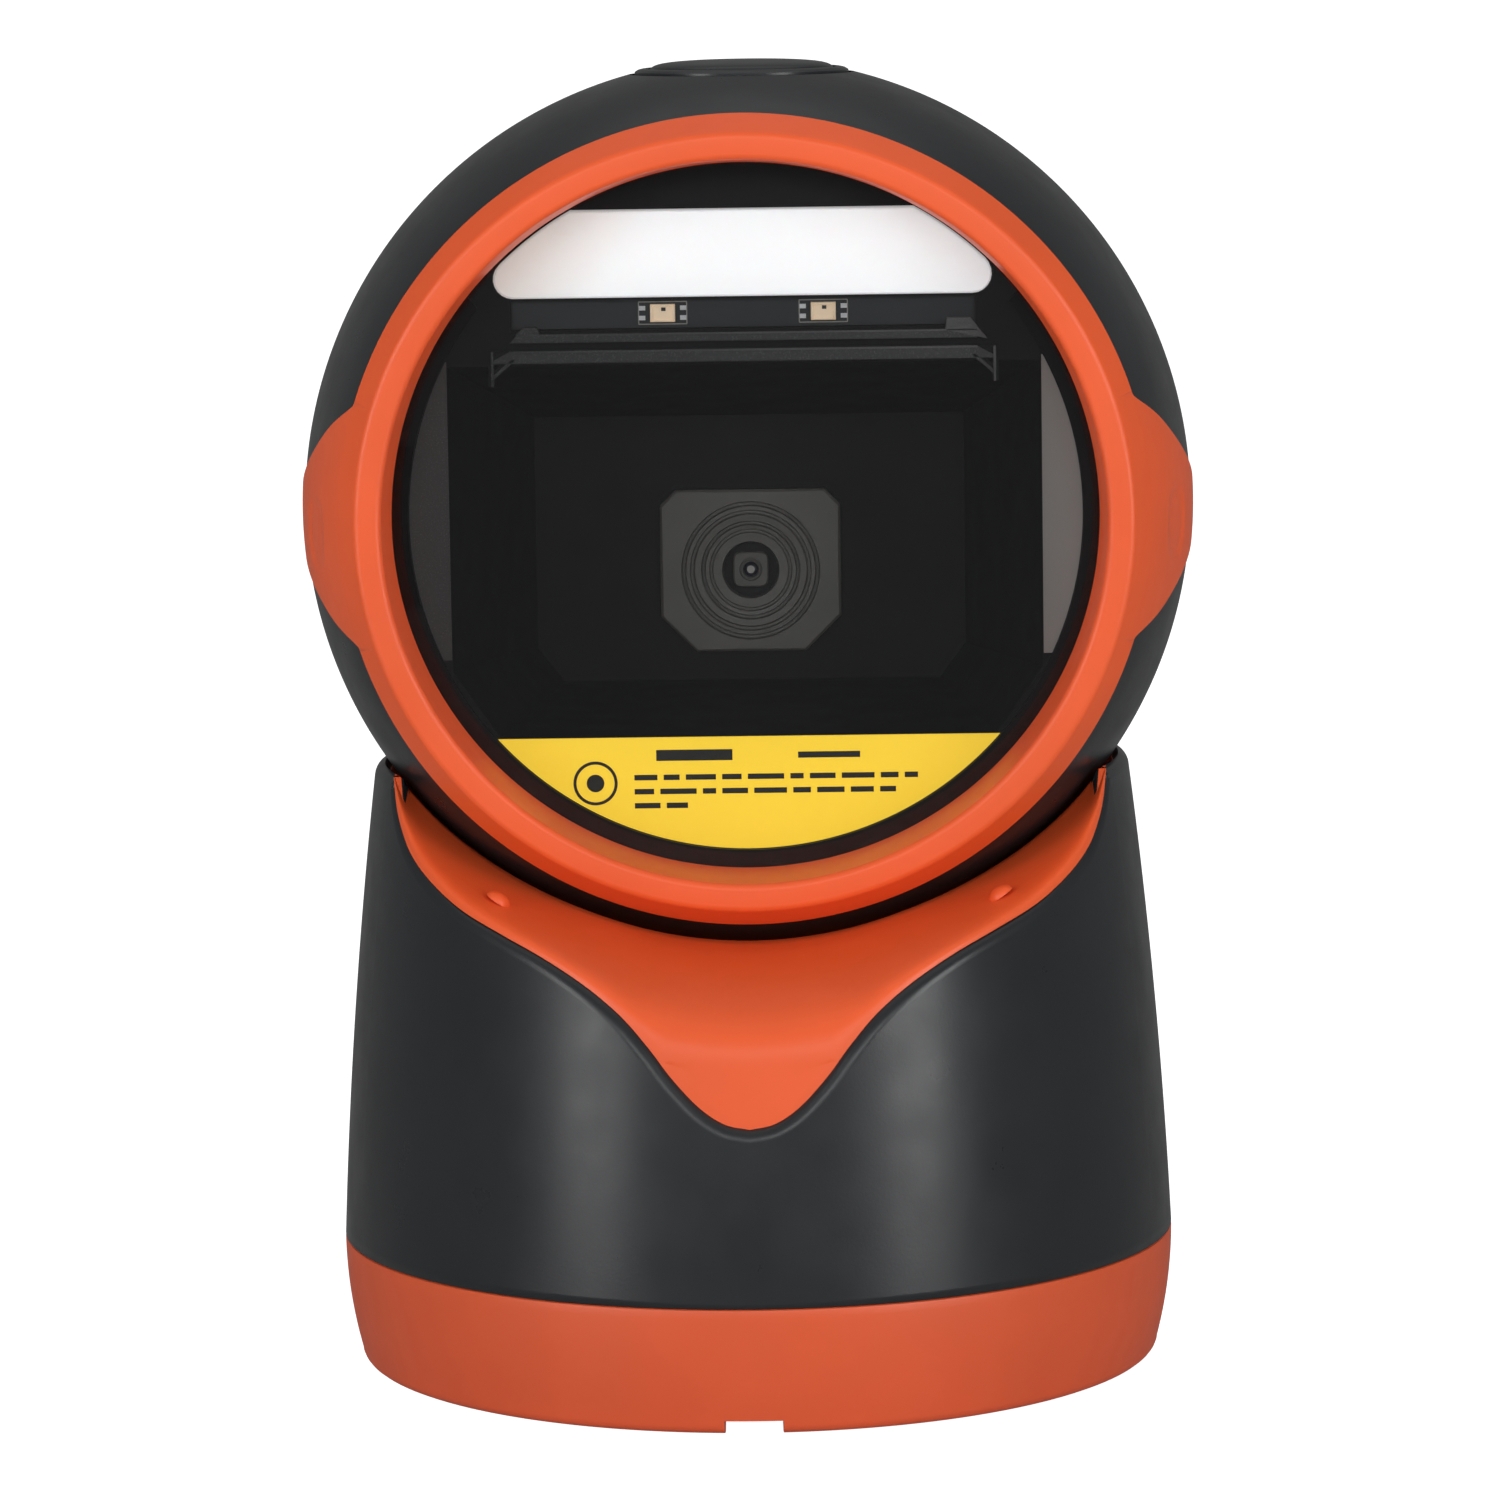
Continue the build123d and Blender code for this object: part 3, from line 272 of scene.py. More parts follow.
def spread(tree, value, low, high, from_low=0.3, from_high=0.7):
    """A noise value carried to a range."""
    node = tree.nodes.new("ShaderNodeMapRange")
    put(node, "From Min", from_low)
    put(node, "From Max", from_high)
    put(node, "To Min", low)
    put(node, "To Max", high)
    tree.links.new(value, node.inputs["Value"])
    return node.outputs["Result"]


def two_tones(tree, value, first, second):
    """A colour mixed from two by a value."""
    node = tree.nodes.new("ShaderNodeMix")
    node.data_type = "RGBA"
    put(node, "A", (*first, 1))
    put(node, "B", (*second, 1))
    tree.links.new(value, node.inputs["Factor"])
    return node.outputs["Result"]


def bump(tree, shader, height, depth):
    """Small relief of a depth in metres."""
    node = tree.nodes.new("ShaderNodeBump")
    put(node, "Strength", 1.0)
    put(node, "Distance", depth)
    tree.links.new(height, node.inputs["Height"])
    tree.links.new(node.outputs["Normal"], shader.inputs["Normal"])


def moulded(name, color, rough, grain=2600, depth=6e-6, tone=0.07, specular=0.5, glow=0.0):
    """Moulded or coated surface: even colour with faint drift, a fine grain and uneven gloss."""
    material, tree, shader, place = new_material(name)
    drift = spread(tree, noise(tree, place, 55, 4), 0, 1)
    dark = [c * (1 - tone) for c in color]
    light = [min(1, c * (1 + tone)) for c in color]
    tree.links.new(two_tones(tree, drift, dark, light), shader.inputs["Base Color"])
    gloss = spread(tree, noise(tree, place, 140, 5, 0.6), rough - 0.05, rough + 0.05)
    tree.links.new(gloss, shader.inputs["Roughness"])
    bump(tree, shader, noise(tree, place, grain, 2, 0.55), depth)
    put(shader, "Specular IOR Level", specular)
    # Glow makes the surface give off light in its own colour; on the yellow plate it is painted light.
    put(shader, "Emission Color", (*color, 1))
    put(shader, "Emission Strength", glow)
    return material


def speckled_with_painted_light(name, left, right, x_left, x_right):
    """Dusty coated skin with bright specks, and painted light and shade: it gets lighter from left to right."""
    material, tree, shader, place = new_material(name)
    split = tree.nodes.new("ShaderNodeSeparateXYZ")
    tree.links.new(place, split.inputs["Vector"])
    # Painted light and shade: a shaded tone at the left blends into a lit tone at the right.
    across = two_tones(tree, spread(tree, split.outputs["X"], 0, 1, x_left, x_right), left, right)
    specks = spread(tree, noise(tree, place, 6500, 2, 0.4), 0, 1, 0.56, 0.72)
    mix = tree.nodes.new("ShaderNodeMix")
    mix.data_type = "RGBA"
    mix.blend_type = "SCREEN"
    tree.links.new(across, mix.inputs["A"])
    put(mix, "B", (0.045, 0.043, 0.040, 1))
    tree.links.new(specks, mix.inputs["Factor"])
    tree.links.new(mix.outputs["Result"], shader.inputs["Base Color"])
    tree.links.new(spread(tree, specks, 0.6, 0.4, 0, 1), shader.inputs["Roughness"])
    bump(tree, shader, specks, 6e-6)
    return material


def brushed(name, color, rough):
    """Plated or turned metal with fine streaks."""
    material, tree, shader, place = new_material(name)
    streaks = noise(tree, place, 900, 3, 0.6, stretch=(1.0, 1.0, 9.0))
    tree.links.new(two_tones(tree, spread(tree, streaks, 0, 1), [c * 0.85 for c in color], color),
                   shader.inputs["Base Color"])
    tree.links.new(spread(tree, streaks, rough - 0.07, rough + 0.09), shader.inputs["Roughness"])
    bump(tree, shader, streaks, 4e-6)
    put(shader, "Metallic", 1.0)
    return material


def felted(name, color):
    """Felt: soft, with fibre noise and a little sheen."""
    material, tree, shader, place = new_material(name)
    fibres = noise(tree, place, 5200, 5, 0.7)
    tree.links.new(two_tones(tree, spread(tree, fibres, 0, 1), [c * 0.6 for c in color], color),
                   shader.inputs["Base Color"])
    put(shader, "Roughness", 0.95)
    put(shader, "Sheen Weight", 0.4)
    bump(tree, shader, fibres, 8e-5)
    return material


def circuit(name, color, trace):
    """Circuit board: solder mask with raised tracks shown as fine stepped lines."""
    material, tree, shader, place = new_material(name)
    cells = tree.nodes.new("ShaderNodeTexVoronoi")
    cells.distance = "MANHATTAN"
    cells.feature = "F1"
    put(cells, "Scale", 420)
    tree.links.new(place, cells.inputs["Vector"])
    tracks = spread(tree, cells.outputs["Distance"], 0, 1, 0.42, 0.5)
    tree.links.new(two_tones(tree, tracks, color, trace), shader.inputs["Base Color"])
    tree.links.new(spread(tree, tracks, 0.32, 0.42, 0, 1), shader.inputs["Roughness"])
    bump(tree, shader, tracks, 2.5e-5)
    return material


def window_glass(name):
    """Thin clear pane: what is behind shows through, with a faint mirror that grows at a slant."""
    material = bpy.data.materials.new(name)
    material.use_nodes = True
    tree = material.node_tree
    tree.nodes.clear()
    out = tree.nodes.new("ShaderNodeOutputMaterial")
    mix = tree.nodes.new("ShaderNodeMixShader")
    clear = tree.nodes.new("ShaderNodeBsdfTransparent")
    mirror = tree.nodes.new("ShaderNodeBsdfGlossy")
    fresnel = tree.nodes.new("ShaderNodeFresnel")
    place = tree.nodes.new("ShaderNodeTexCoord").outputs["Object"]
    put(fresnel, "IOR", 1.45)
    put(clear, "Color", (0.93, 0.94, 0.95, 1))
    tree.links.new(spread(tree, noise(tree, place, 90, 3), 0.03, 0.07), mirror.inputs["Roughness"])
    tree.links.new(fresnel.outputs["Fac"], mix.inputs["Fac"])
    tree.links.new(clear.outputs["BSDF"], mix.inputs[1])
    tree.links.new(mirror.outputs["BSDF"], mix.inputs[2])
    tree.links.new(mix.outputs["Shader"], out.inputs["Surface"])
    return material


def lens_coating(name):
    """Dark coated glass of the lens."""
    material, tree, shader, place = new_material(name)
    facing = tree.nodes.new("ShaderNodeLayerWeight")
    put(facing, "Blend", 0.4)
    tree.links.new(two_tones(tree, facing.outputs["Facing"], (0.01, 0.012, 0.02), (0.05, 0.03, 0.09)),
                   shader.inputs["Base Color"])
    tree.links.new(spread(tree, noise(tree, place, 3000), 0.02, 0.05), shader.inputs["Roughness"])
    put(shader, "Coat Weight", 1.0)
    return material


def frosted(name):
    """Frosted white diffuser, lit a little from behind and darker towards one end."""
    material, tree, shader, place = new_material(name)
    split = tree.nodes.new("ShaderNodeSeparateXYZ")
    tree.links.new(place, split.inputs["Vector"])
    low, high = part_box("diffuser_bar")
    slant = tree.nodes.new("ShaderNodeMath")
    slant.operation = "MULTIPLY_ADD"
    put(slant, 1, -0.7)
    tree.links.new(split.outputs["Z"], slant.inputs[0])
    tree.links.new(split.outputs["X"], slant.inputs[2])
    shift = -0.7 * (low.z + high.z) / 2
    along = spread(tree, slant.outputs["Value"], 0, 1, shift - 32 * MM, shift - 13 * MM)
    tone = two_tones(tree, along, (0.71, 0.61, 0.53), (0.95, 0.93, 0.92))
    tree.links.new(tone, shader.inputs["Base Color"])
    tree.links.new(tone, shader.inputs["Emission Color"])
    put(shader, "Emission Strength", 0.46)
    tree.links.new(spread(tree, noise(tree, place, 800, 4), 0.35, 0.5), shader.inputs["Roughness"])
    put(shader, "Subsurface Weight", 0.2)
    put(shader, "Subsurface Scale", 0.002)
    bump(tree, shader, noise(tree, place, 2400), 5e-6)
    return material


LOOKS = {
    "window": window_glass("window"),
    "diffuser": frosted("diffuser"),
    "circuit_board": circuit("circuit_board", (0.012, 0.055, 0.03), (0.02, 0.11, 0.055)),
    "felt": felted("felt", (0.05, 0.05, 0.05)),
    "steel": brushed("steel", (0.58, 0.58, 0.6), 0.3),
    "brass": brushed("brass", (0.83, 0.62, 0.28), 0.25),
    "lens_glass": lens_coating("lens_glass"),
}
# colour, roughness, grain in features per metre, its depth, tone drift, specular level, glow
for name, values in {
    "black_shell": ((0.0165, 0.018, 0.0197), 0.32, 3200, 7e-6, 0.07, 0.4),
    "orange_gloss": ((0.80, 0.105, 0.024), 0.42, 2600, 5e-6, 0.04, 0.42),
    # orange_base is a darker copy of the orange for the foot ring: painted shade, standing for the lesser light that
    # reaches the foot ring.
    "orange_base": ((0.66, 0.094, 0.029), 0.46, 2600, 5e-6, 0.05, 0.4),
    # inner_black is black plastic made far darker than the shell's: its own black, partly painted shade for the inside
    # of the tunnel.
    "inner_black": ((0.0026, 0.0021, 0.0029), 0.6, 900, 1e-6, 0.07, 0.15),
    "grey_plate": ((0.088, 0.082, 0.070), 0.5, 5200, 8e-6, 0.12),
    "mask_black": ((0.0040, 0.0034, 0.0042), 0.5, 3000, 1e-6, 0.07, 0.2),
    # The yellow plate's glow is painted light: it brightens the plate where it sits shaded in its recess behind the
    # glass.
    "yellow": ((0.95, 0.63, 0.03), 0.45, 1800, 3e-6, 0.03, 0.5, 0.68),
    "black_board": ((0.007, 0.007, 0.008), 0.4, 2500, 5e-6),
    "led": ((0.86, 0.66, 0.45), 0.4, 4000, 6e-6, 0.12, 0.5, 0.2),
    "chip": ((0.018, 0.018, 0.019), 0.5, 5000, 1e-5),
    "socket": ((0.62, 0.59, 0.48), 0.45, 3000, 5e-6),
    "rubber": ((0.014, 0.014, 0.014), 0.75, 1500, 3e-5),
    "print_black": ((0.012, 0.011, 0.010), 0.5, 3000, 2e-6),
    "print_grey": ((0.30, 0.28, 0.25), 0.5, 3000, 2e-6),
    "barrel_grey": ((0.075, 0.070, 0.060), 0.4, 5000, 4e-6, 0.12),
}.items():
    LOOKS[name] = moulded(name, *values)
# The rails and side flats get painted light and shade: darker at the left, lighter at the right.
RAIL = speckled_with_painted_light("rail_grey", (0.022, 0.021, 0.020), (0.038, 0.036, 0.034), -20 * MM, 20 * MM)
# Painted highlight: a lighter grey for the thin strips on the rails' edges.
RAIL_HIGHLIGHT = speckled_with_painted_light("rail_highlight", (0.030, 0.029, 0.028), (0.105, 0.100, 0.094), -24 * MM, 30 * MM)
FLATS = speckled_with_painted_light("flat_grey", (0.054, 0.048, 0.043), (0.45, 0.42, 0.38), 12 * MM, 37 * MM)
SOLDER = brushed("solder", (0.75, 0.74, 0.72), 0.35)

slot_of = {entry["node"]: entry["material_slot"] for entry in frame["record"]["subparts"]}
for node, carried in frame["nodes"].items():
    carried.data.materials.clear()
    carried.data.materials.append({"side_flats": FLATS, "led_pads": SOLDER}.get(node, LOOKS[slot_of[node]]))


# ---------------- head: ball shells
def on_ball(point, face_normal):
    """Exact normal on the ball's outer or inner surface."""
    arm = point - BALL
    for radius, sign in ((BALL_R, 1), (BALL_R - BALL_WALL, -1)):
        if abs(arm.length - radius) < 4e-6 and abs(face_normal.dot(arm.normalized())) > 0.97:
            return arm.normalized() * sign
    return None


def ball_outline(y_from, y_to, steps):
    """Section of the ball's wall between two depths, with a small groove edge at the centre plane."""
    inner = BALL_R - BALL_WALL
    lip = 0.25 * MM
    outside, inside = [], []
    start = asin(max(-1, min(1, y_from / BALL_R)))
    end = asin(max(-1, min(1, y_to / BALL_R)))
    for s in range(steps + 1):
        a = start + (end - start) * s / steps
        outside.append((BALL_R * sin(a), BALL_R * cos(a)))
    start_in = asin(max(-1, min(1, y_from / inner)))
    end_in = asin(max(-1, min(1, y_to / inner)))
    for s in range(steps // 2 + 1):
        a = end_in + (start_in - end_in) * s / (steps // 2)
        inside.append((inner * sin(a), inner * cos(a)))
    if abs(y_to) < 1e-9:
        outside[-1] = (-lip, sqrt(BALL_R ** 2 - lip ** 2))
        outside.append((0, BALL_R - lip))
    if abs(y_from) < 1e-9:
        outside[0] = (lip, sqrt(BALL_R ** 2 - lip ** 2))
        outside.insert(0, (0, BALL_R - lip))
    return outside + inside


def screw_places():
    """Axis of each rear screw hole in X and Z, read from the screws themselves."""
    mesh = frame["nodes"]["rear_screws"].data
    heads = {}
    for v in mesh.vertices:
        heads.setdefault((v.co.x > 0, v.co.z > BALL.z), []).append(v.co)
    return [((min(p.x for p in ps) + max(p.x for p in ps)) / 2, (min(p.z for p in ps) + max(p.z for p in ps)) / 2)
            for ps in heads.values()]


def make_ball():
    """Front and rear halves of the ball, with the button hole, the screw wells and the clamp slot."""
    button_hole = rod(BALL + Vector((0, 0, 30 * MM)), Vector((0, 0, 40 * MM)), BUTTON_RIM_R + 0.4 * MM, 160)
    front = lathe(ball_outline(Y_CUT, 0, 48), about_view, 320)
    front = cut(front, [button_hole.copy()])
    true_normals(front, on_ball)
    finish_mesh("head_front_shell", front, "black_shell", ["head_front"], 30)

    rear = lathe(ball_outline(0, BALL_R, 80), about_view, 320)
    wells = [rod(Vector((x, 20 * MM, z)), Vector((0, 40 * MM, 0)), 2.7 * MM, 64) for x, z in screw_places()]
    half, far = 4.5 * MM, 70 * MM
    edges = [radians(a) for a in (3.4, 44.6)]
    wedge = [Vector((-half, far * sin(a), BALL.z - far * cos(a))) for a in edges]
    slot = prism([Vector((-half, 0.01 * MM, BALL.z))] + wedge, Vector((2 * half, 0, 0)))
    rear = cut(rear, [button_hole, slot] + wells)
    true_normals(rear, on_ball)
    finish_mesh("head_rear_shell", rear, "black_shell", ["head_rear"], 30)
    well = [(22.0 * MM, 1.6 * MM), (22.0 * MM, 2.7 * MM), (None, 2.7 * MM),
            (None, 3.4 * MM), (21.0 * MM, 3.4 * MM), (21.0 * MM, 1.6 * MM)]  # None ends inside the ball's wall
    for x, z in screw_places():
        def in_wall(r, y, a):
            p_x, p_z = x + r * sin(a), z + r * cos(a)
            shell_y = sqrt((BALL_R - 0.8 * MM) ** 2 - p_x ** 2 - (p_z - BALL.z) ** 2)
            return Vector((p_x, shell_y if y is None else y, p_z))

        name = f"screw_well_{'upper' if z > BALL.z else 'lower'}_{'left' if x < 0 else 'right'}"
        finish_mesh(name, lathe(well, in_wall, 64), "black_shell")


# ---------------- head: bezel with its wings
WING_LINE = [(-24.0, 14.7), (-23.2, 13.8), (-22.0, 13.0), (-18.0, 11.1), (-14.0, 8.8), (-10.0, 6.8), (-6.0, 5.1),
             (-2.0, 3.6), (2.0, 2.3), (4.5, 1.3), (6.0, 0.0)]  # depth and half height of a wing, in mm
WING_DROOP = radians(2.5)
GRIP_DEPTH, GRIP_LENGTH, GRIP_HEIGHT = 0.24 * MM, 3.1 * MM, 4.2 * MM  # finger recess: depth and half sizes
Y_GRIP, GRIP_DROP = -15.6 * MM, 1.4 * MM


def ease(t):
    """Smooth step from 0 to 1."""
    t = max(0.0, min(1.0, t))
    return t * t * (3 - 2 * t)


def wing_reach(angle):
    """How far back the bezel's skin runs at an angle above or below the wing's middle."""
    line = curve_through(WING_LINE, 40)
    table = np.array(sorted((asin(max(height, 0.0) * MM / sqrt(BALL_R ** 2 - (y * MM) ** 2)), y * MM)
                            for y, height in line))
    return float(np.interp(abs(angle), table[:, 0], table[:, 1], right=Y_CUT))


def grip_dip(y, angle):
    """Depth of the finger recess at a place on the wing."""
    height = BALL_R * sin(angle) + GRIP_DROP
    away = (abs(y - Y_GRIP) / GRIP_LENGTH) ** 2.6 + (abs(height) / GRIP_HEIGHT) ** 2.6
    return GRIP_DEPTH * ease((1.3 - away) / 0.9)


def make_bezel():
    """Orange ring: lip round the window, flat face, outer slope, and the wings over the ball's sides."""
    wing_angle = radians(24)  # the columns stand closer together on the wings
    fine = [-wing_angle + 2 * wing_angle * i / 220 for i in range(221)]
    coarse = [wing_angle + (pi - 2 * wing_angle) * i / 90 for i in range(1, 90)]
    columns = []
    for angle in [quarter * pi / 2 + a for quarter in (1, 3) for a in fine + coarse]:
        side = sin(angle)
        lift = asin(max(-1, min(1, cos(angle))))  # height angle above the horizontal
        on_side = abs(side) > 0.5
        reach = wing_reach(lift) if on_side else Y_CUT
        for _ in range(2):  # the wing's middle line falls towards the back
            fall = tan(WING_DROOP) * (reach - Y_CUT) / sqrt(max(BALL_R ** 2 - reach ** 2, 1e-9))
            reach = wing_reach(lift + fall) if on_side else Y_CUT
        reach = max(reach, Y_CUT)
        skin_r = BALL_R + WING_RISE
        neck = Y_CUT - 0.1 * MM
        section = rounded([(Y_PANE, WINDOW_R), (Y_BEZEL, BEZEL_IN_R), (Y_BEZEL, BEZEL_FRONT_R),
                           (neck, sqrt(skin_r ** 2 - neck ** 2))], [0, 0.75 * MM, 0.9 * MM, 0], 7)[:-1]
        start = asin(neck / skin_r)
        edge = 0.55 * MM
        stop = asin(max(reach - edge, neck) / skin_r)
        for s in range(91):  # rows at even depths, gathered where the skin ends
            a = min(start + (asin(8 * MM / skin_r) - start) * s / 90, stop)
            dipped = skin_r - (grip_dip(skin_r * sin(a), lift) if on_side else 0)
            section.append(Vector((dipped * sin(a), dipped * cos(a))))
        for s in range(1, 7):  # rounded rear edge
            t = s / 6 * pi / 2
            radius = skin_r - edge * (1 - cos(t))
            depth = max(reach - edge, neck) + edge * sin(t) * min(1.0, (reach - neck) / edge)
            section.append(Vector((depth, sqrt(max(radius ** 2 - depth ** 2, 1e-9)))))
        under = BALL_R - 0.9 * MM
        last = section[-1][0]
        section.append(Vector((last, sqrt(under ** 2 - last ** 2))))
        section.append(Vector((Y_CUT + 0.05 * MM, sqrt(under ** 2 - Y_CUT ** 2))))
        section += [Vector((Y_CUT + 0.05 * MM, SKIRT_R)), Vector((Y_SKIRT, SKIRT_R)),
                    Vector((Y_SKIRT, SKIRT_R - SKIRT_WALL)), Vector((Y_PANE, SKIRT_R - SKIRT_WALL))]
        columns.append([about_view(p[1], p[0], angle) for p in section])
    finish_mesh("bezel_ring", grid_mesh(columns), "orange_gloss", ["bezel"], 45)


# ---------------- head: button
def make_button():
    """Domed push button and the ring round it."""
    dome = [(-0.10, 0.0), (-0.12, 3.0), (-0.18, 5.5), (-0.29, 7.4), (-0.44, 8.8), (-0.64, 9.7), (-0.92, 10.25),
            (-1.35, 10.5)]  # from the ball's top and from the axis, in mm
    outline = [(BALL.z + BALL_R + p.x * MM, p.y * MM) for p in curve_through(dome, 6)]
    outline += [(BALL.z + 44.7 * MM, BUTTON_R), (BALL.z + 44.7 * MM, BUTTON_R + 1.1 * MM),
                (BALL.z + 43.7 * MM, BUTTON_R + 1.1 * MM), (BALL.z + 43.7 * MM, BUTTON_R - 1.6 * MM),
                (BALL.z + 48.1 * MM, BUTTON_R - 1.6 * MM), (BALL.z + 48.1 * MM, 1.5 * MM),
                (BALL.z + 40.6 * MM, 1.5 * MM), (BALL.z + 40.6 * MM, 0)]
    finish_mesh("push_button", lathe(outline, about_vertical, 192), "black_shell", ["trigger_button"], 35,
                body="button")

    proud = BALL_R + 0.25 * MM
    ring = []
    for s in range(9):
        r = BUTTON_R + 0.28 * MM + (BUTTON_RIM_R - BUTTON_R - 0.53 * MM) * s / 8
        dip = 0.15 * MM * cos(pi * s / 8) ** 6
        ring.append((BALL.z + sqrt(proud ** 2 - r ** 2) - dip, r))
    ring += [(BALL.z + 46.0 * MM, BUTTON_RIM_R - 0.25 * MM), (BALL.z + 46.0 * MM, 14.2 * MM),
             (BALL.z + 44.9 * MM, 14.2 * MM), (BALL.z + 44.9 * MM, BUTTON_R + 0.28 * MM)]
    finish_mesh("button_ring", lathe(ring, about_vertical, 192), "black_shell", ["button_bezel"])


# ---------------- head: window and what is behind it
def make_window():
    """Clear pane with ground edges and the black printed border behind it."""
    low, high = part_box("window_pane")
    radius = SKIRT_R - SKIRT_WALL - 0.1 * MM
    pane = rounded([(low.y, 0), (low.y, radius), (high.y, radius), (high.y, 0)], [0, 0.25 * MM, 0.25 * MM, 0])
    finish_mesh("window_glass", lathe(pane, about_view), "window", ["window_pane"])

    bar_low, bar_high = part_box("diffuser_bar")

    def section(angle):
        beside_bar = BALL.z + 38.6 * MM * cos(angle) > bar_low.z - 0.35 * MM
        inner = 39.45 * MM if beside_bar else MASK_IN_R
        if cos(angle) > 0.5:
            inner = min(inner, (bar_high.z + 0.2 * MM - BALL.z) / cos(angle))
        return [(Y_MASK_FRONT, inner), (Y_MASK_FRONT, radius), (Y_MASK_BACK, radius), (Y_MASK_BACK, inner)]

    finish_mesh("window_border", lathe(section, about_view, 720), "mask_black", ["window_mask"])


def bar_outline(y):
    """Diffuser bar seen from the front: flat top and bottom, ends on an arc, soft corners."""
    low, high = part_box("diffuser_bar")
    bottom, top = low.z - BALL.z, high.z - BALL.z
    radius = 39.3 * MM
    high_angle = asin(top / radius)
    soft = 2.2 * MM
    right = []
    inset = asin((bottom + soft) / (radius - soft))
    middle = Vector(((radius - soft) * cos(inset), bottom + soft))
    for s in range(9):
        a = -pi / 2 + (pi / 2 + inset) * s / 8
        right.append(middle + soft * Vector((cos(a), sin(a))))
    for s in range(1, 16):
        a = inset + (high_angle - inset) * s / 15
        right.append(Vector((radius * cos(a), radius * sin(a))))
    left = [Vector((-p.x, p.y)) for p in reversed(right)]
    return [Vector((p.x, y, BALL.z + p.y)) for p in right + left]


def make_diffuser():
    """White diffuser bar with rounded front edges."""
    low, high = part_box("diffuser_bar")
    mesh = prism(bar_outline(low.y), Vector((0, high.y - low.y, 0)))
    soften(finish_mesh("light_diffuser", mesh, "diffuser", ["diffuser_bar"]), 0.25 * MM)


def soften(piece, width, segments=3):
    """Rounds a piece's hard edges."""
    step = piece.modifiers.new("soft_edges", "BEVEL")
    step.width = width
    step.segments = segments
    step.limit_method = "ANGLE"
    step.angle_limit = radians(40)
    even = piece.modifiers.new("even_faces", "WEIGHTED_NORMAL")
    even.weight = 100
    even.keep_sharp = False


def camera_outline(angle):
    """Distance from the lens axis to the edge of the camera plate at an angle from straight up."""
    low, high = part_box("camera_plate")
    half_x, half_z = (high.x - low.x) / 2, (high.z - low.z) / 2
    dx, dz = abs(sin(angle)), cos(angle)
    corner = 1.8 * MM if dz > 0 else 4.1 * MM
    dz = abs(dz)
    reach = min(half_x / max(dx, 1e-9), half_z / max(dz, 1e-9))
    return min(reach, (half_x + half_z - corner) / (dx + dz))


def make_camera():
    """Camera plate with stepped rings sinking to the lens, the barrel and the lens."""
    low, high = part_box("camera_plate")
    front = low.y
    steps = [(8.1, 0.0), (7.95, 0.75), (7.65, 0.75), (7.5, 0.15), (7.1, 0.15), (6.95, 0.7), (6.7, 0.7), (6.5, 0.3),
             (5.8, 0.35), (5.65, 1.0), (5.4, 1.0), (5.25, 0.45), (4.85, 0.5), (4.7, 0.9), (4.5, 0.9), (4.35, 0.6),
             (3.35, 0.65), (3.2, 2.0)]

    def plate_section(angle):
        edge = camera_outline(angle)
        return ([(high.y, edge), (front + 0.3 * MM, edge), (front, edge - 0.3 * MM)]
                + [(front + depth * MM, radius * MM) for radius, depth in steps] + [(high.y, 3.2 * MM)])

    finish_mesh("camera_front", lathe(plate_section, about_lens, 360), "grey_plate", ["camera_plate"], 35)

    barrel_low, barrel_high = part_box("lens_barrel")
    face = barrel_low.y

    def barrel_section(angle):
        square = 2.05 * MM / (abs(sin(angle)) ** 5 + abs(cos(angle)) ** 5) ** 0.2
        return [(barrel_high.y, 3.15 * MM), (face + 1.2 * MM, 3.15 * MM), (face + 1.2 * MM, square),
                (face + 0.15 * MM, square), (face, square - 0.15 * MM), (face, 1.35 * MM),
                (face + 0.25 * MM, 1.25 * MM), (face + 0.25 * MM, 1.12 * MM), (face - 0.1 * MM, 1.05 * MM),
                (face - 0.1 * MM, 0.95 * MM), (face + 0.6 * MM, 0.86 * MM), (barrel_high.y, 0.86 * MM)]

    finish_mesh("camera_barrel", lathe(barrel_section, about_lens, 144), "inner_black", ["lens_barrel"], 35,
                look=LOOKS["barrel_grey"])

    # Painted shade: a black ring set in the gap between barrel and plate, where shade falls.
    gap = flat_ring(0, LENS.z, 3.15 * MM, 1.6 * MM, face + 1.0 * MM, 0.15 * MM, 96)
    finish_mesh("painted_gap_shade", gap, "inner_black", look=LOOKS["mask_black"])
    # Painted highlight: a small light grey disc at the lens's middle stands for a reflection in the lens.
    glint = flat_ring(0, LENS.z, 0.45 * MM, 0.01 * MM, face + 0.02 * MM, 0.05 * MM, 32)
    finish_mesh("painted_lens_glint", glint, "lens_glass", look=LOOKS["print_grey"])

    lens_low, lens_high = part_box("lens")
    bulge = [(lens_low.y + 0.3 * MM * (s / 8) ** 2, 0.85 * MM * s / 8) for s in range(9)]
    bulge += [(lens_high.y, 0.85 * MM), (lens_high.y, 0)]
    finish_mesh("camera_lens", lathe(bulge, about_lens, 64), "lens_glass", ["lens"])


def flat_box(x, z, width, height, y_front, thickness):
    """Outline prism facing the window, centred on x and z, as a mesh."""
    corners = [(-1, -1), (1, -1), (1, 1), (-1, 1)]
    outline = [Vector((x + sx * width / 2, y_front, z + sz * height / 2)) for sx, sz in corners]
    return prism(outline, Vector((0, thickness, 0)))


def joined(meshes):
    """One mesh from several."""
    work = bmesh.new()
    for part in meshes:
        work.from_mesh(part)
        bpy.data.meshes.remove(part)
    mesh = bpy.data.meshes.new("joined")
    work.to_mesh(mesh)
    work.free()
    return mesh


def flat_ring(x, z, outer, inner, y_front, thickness, segments=64):
    """Thin ring facing the window."""
    section = [(y_front, outer), (y_front + thickness, outer), (y_front + thickness, inner), (y_front, inner)]
    return lathe(section, lambda r, y, a: Vector((x + r * sin(a), y, z + r * cos(a))), segments)


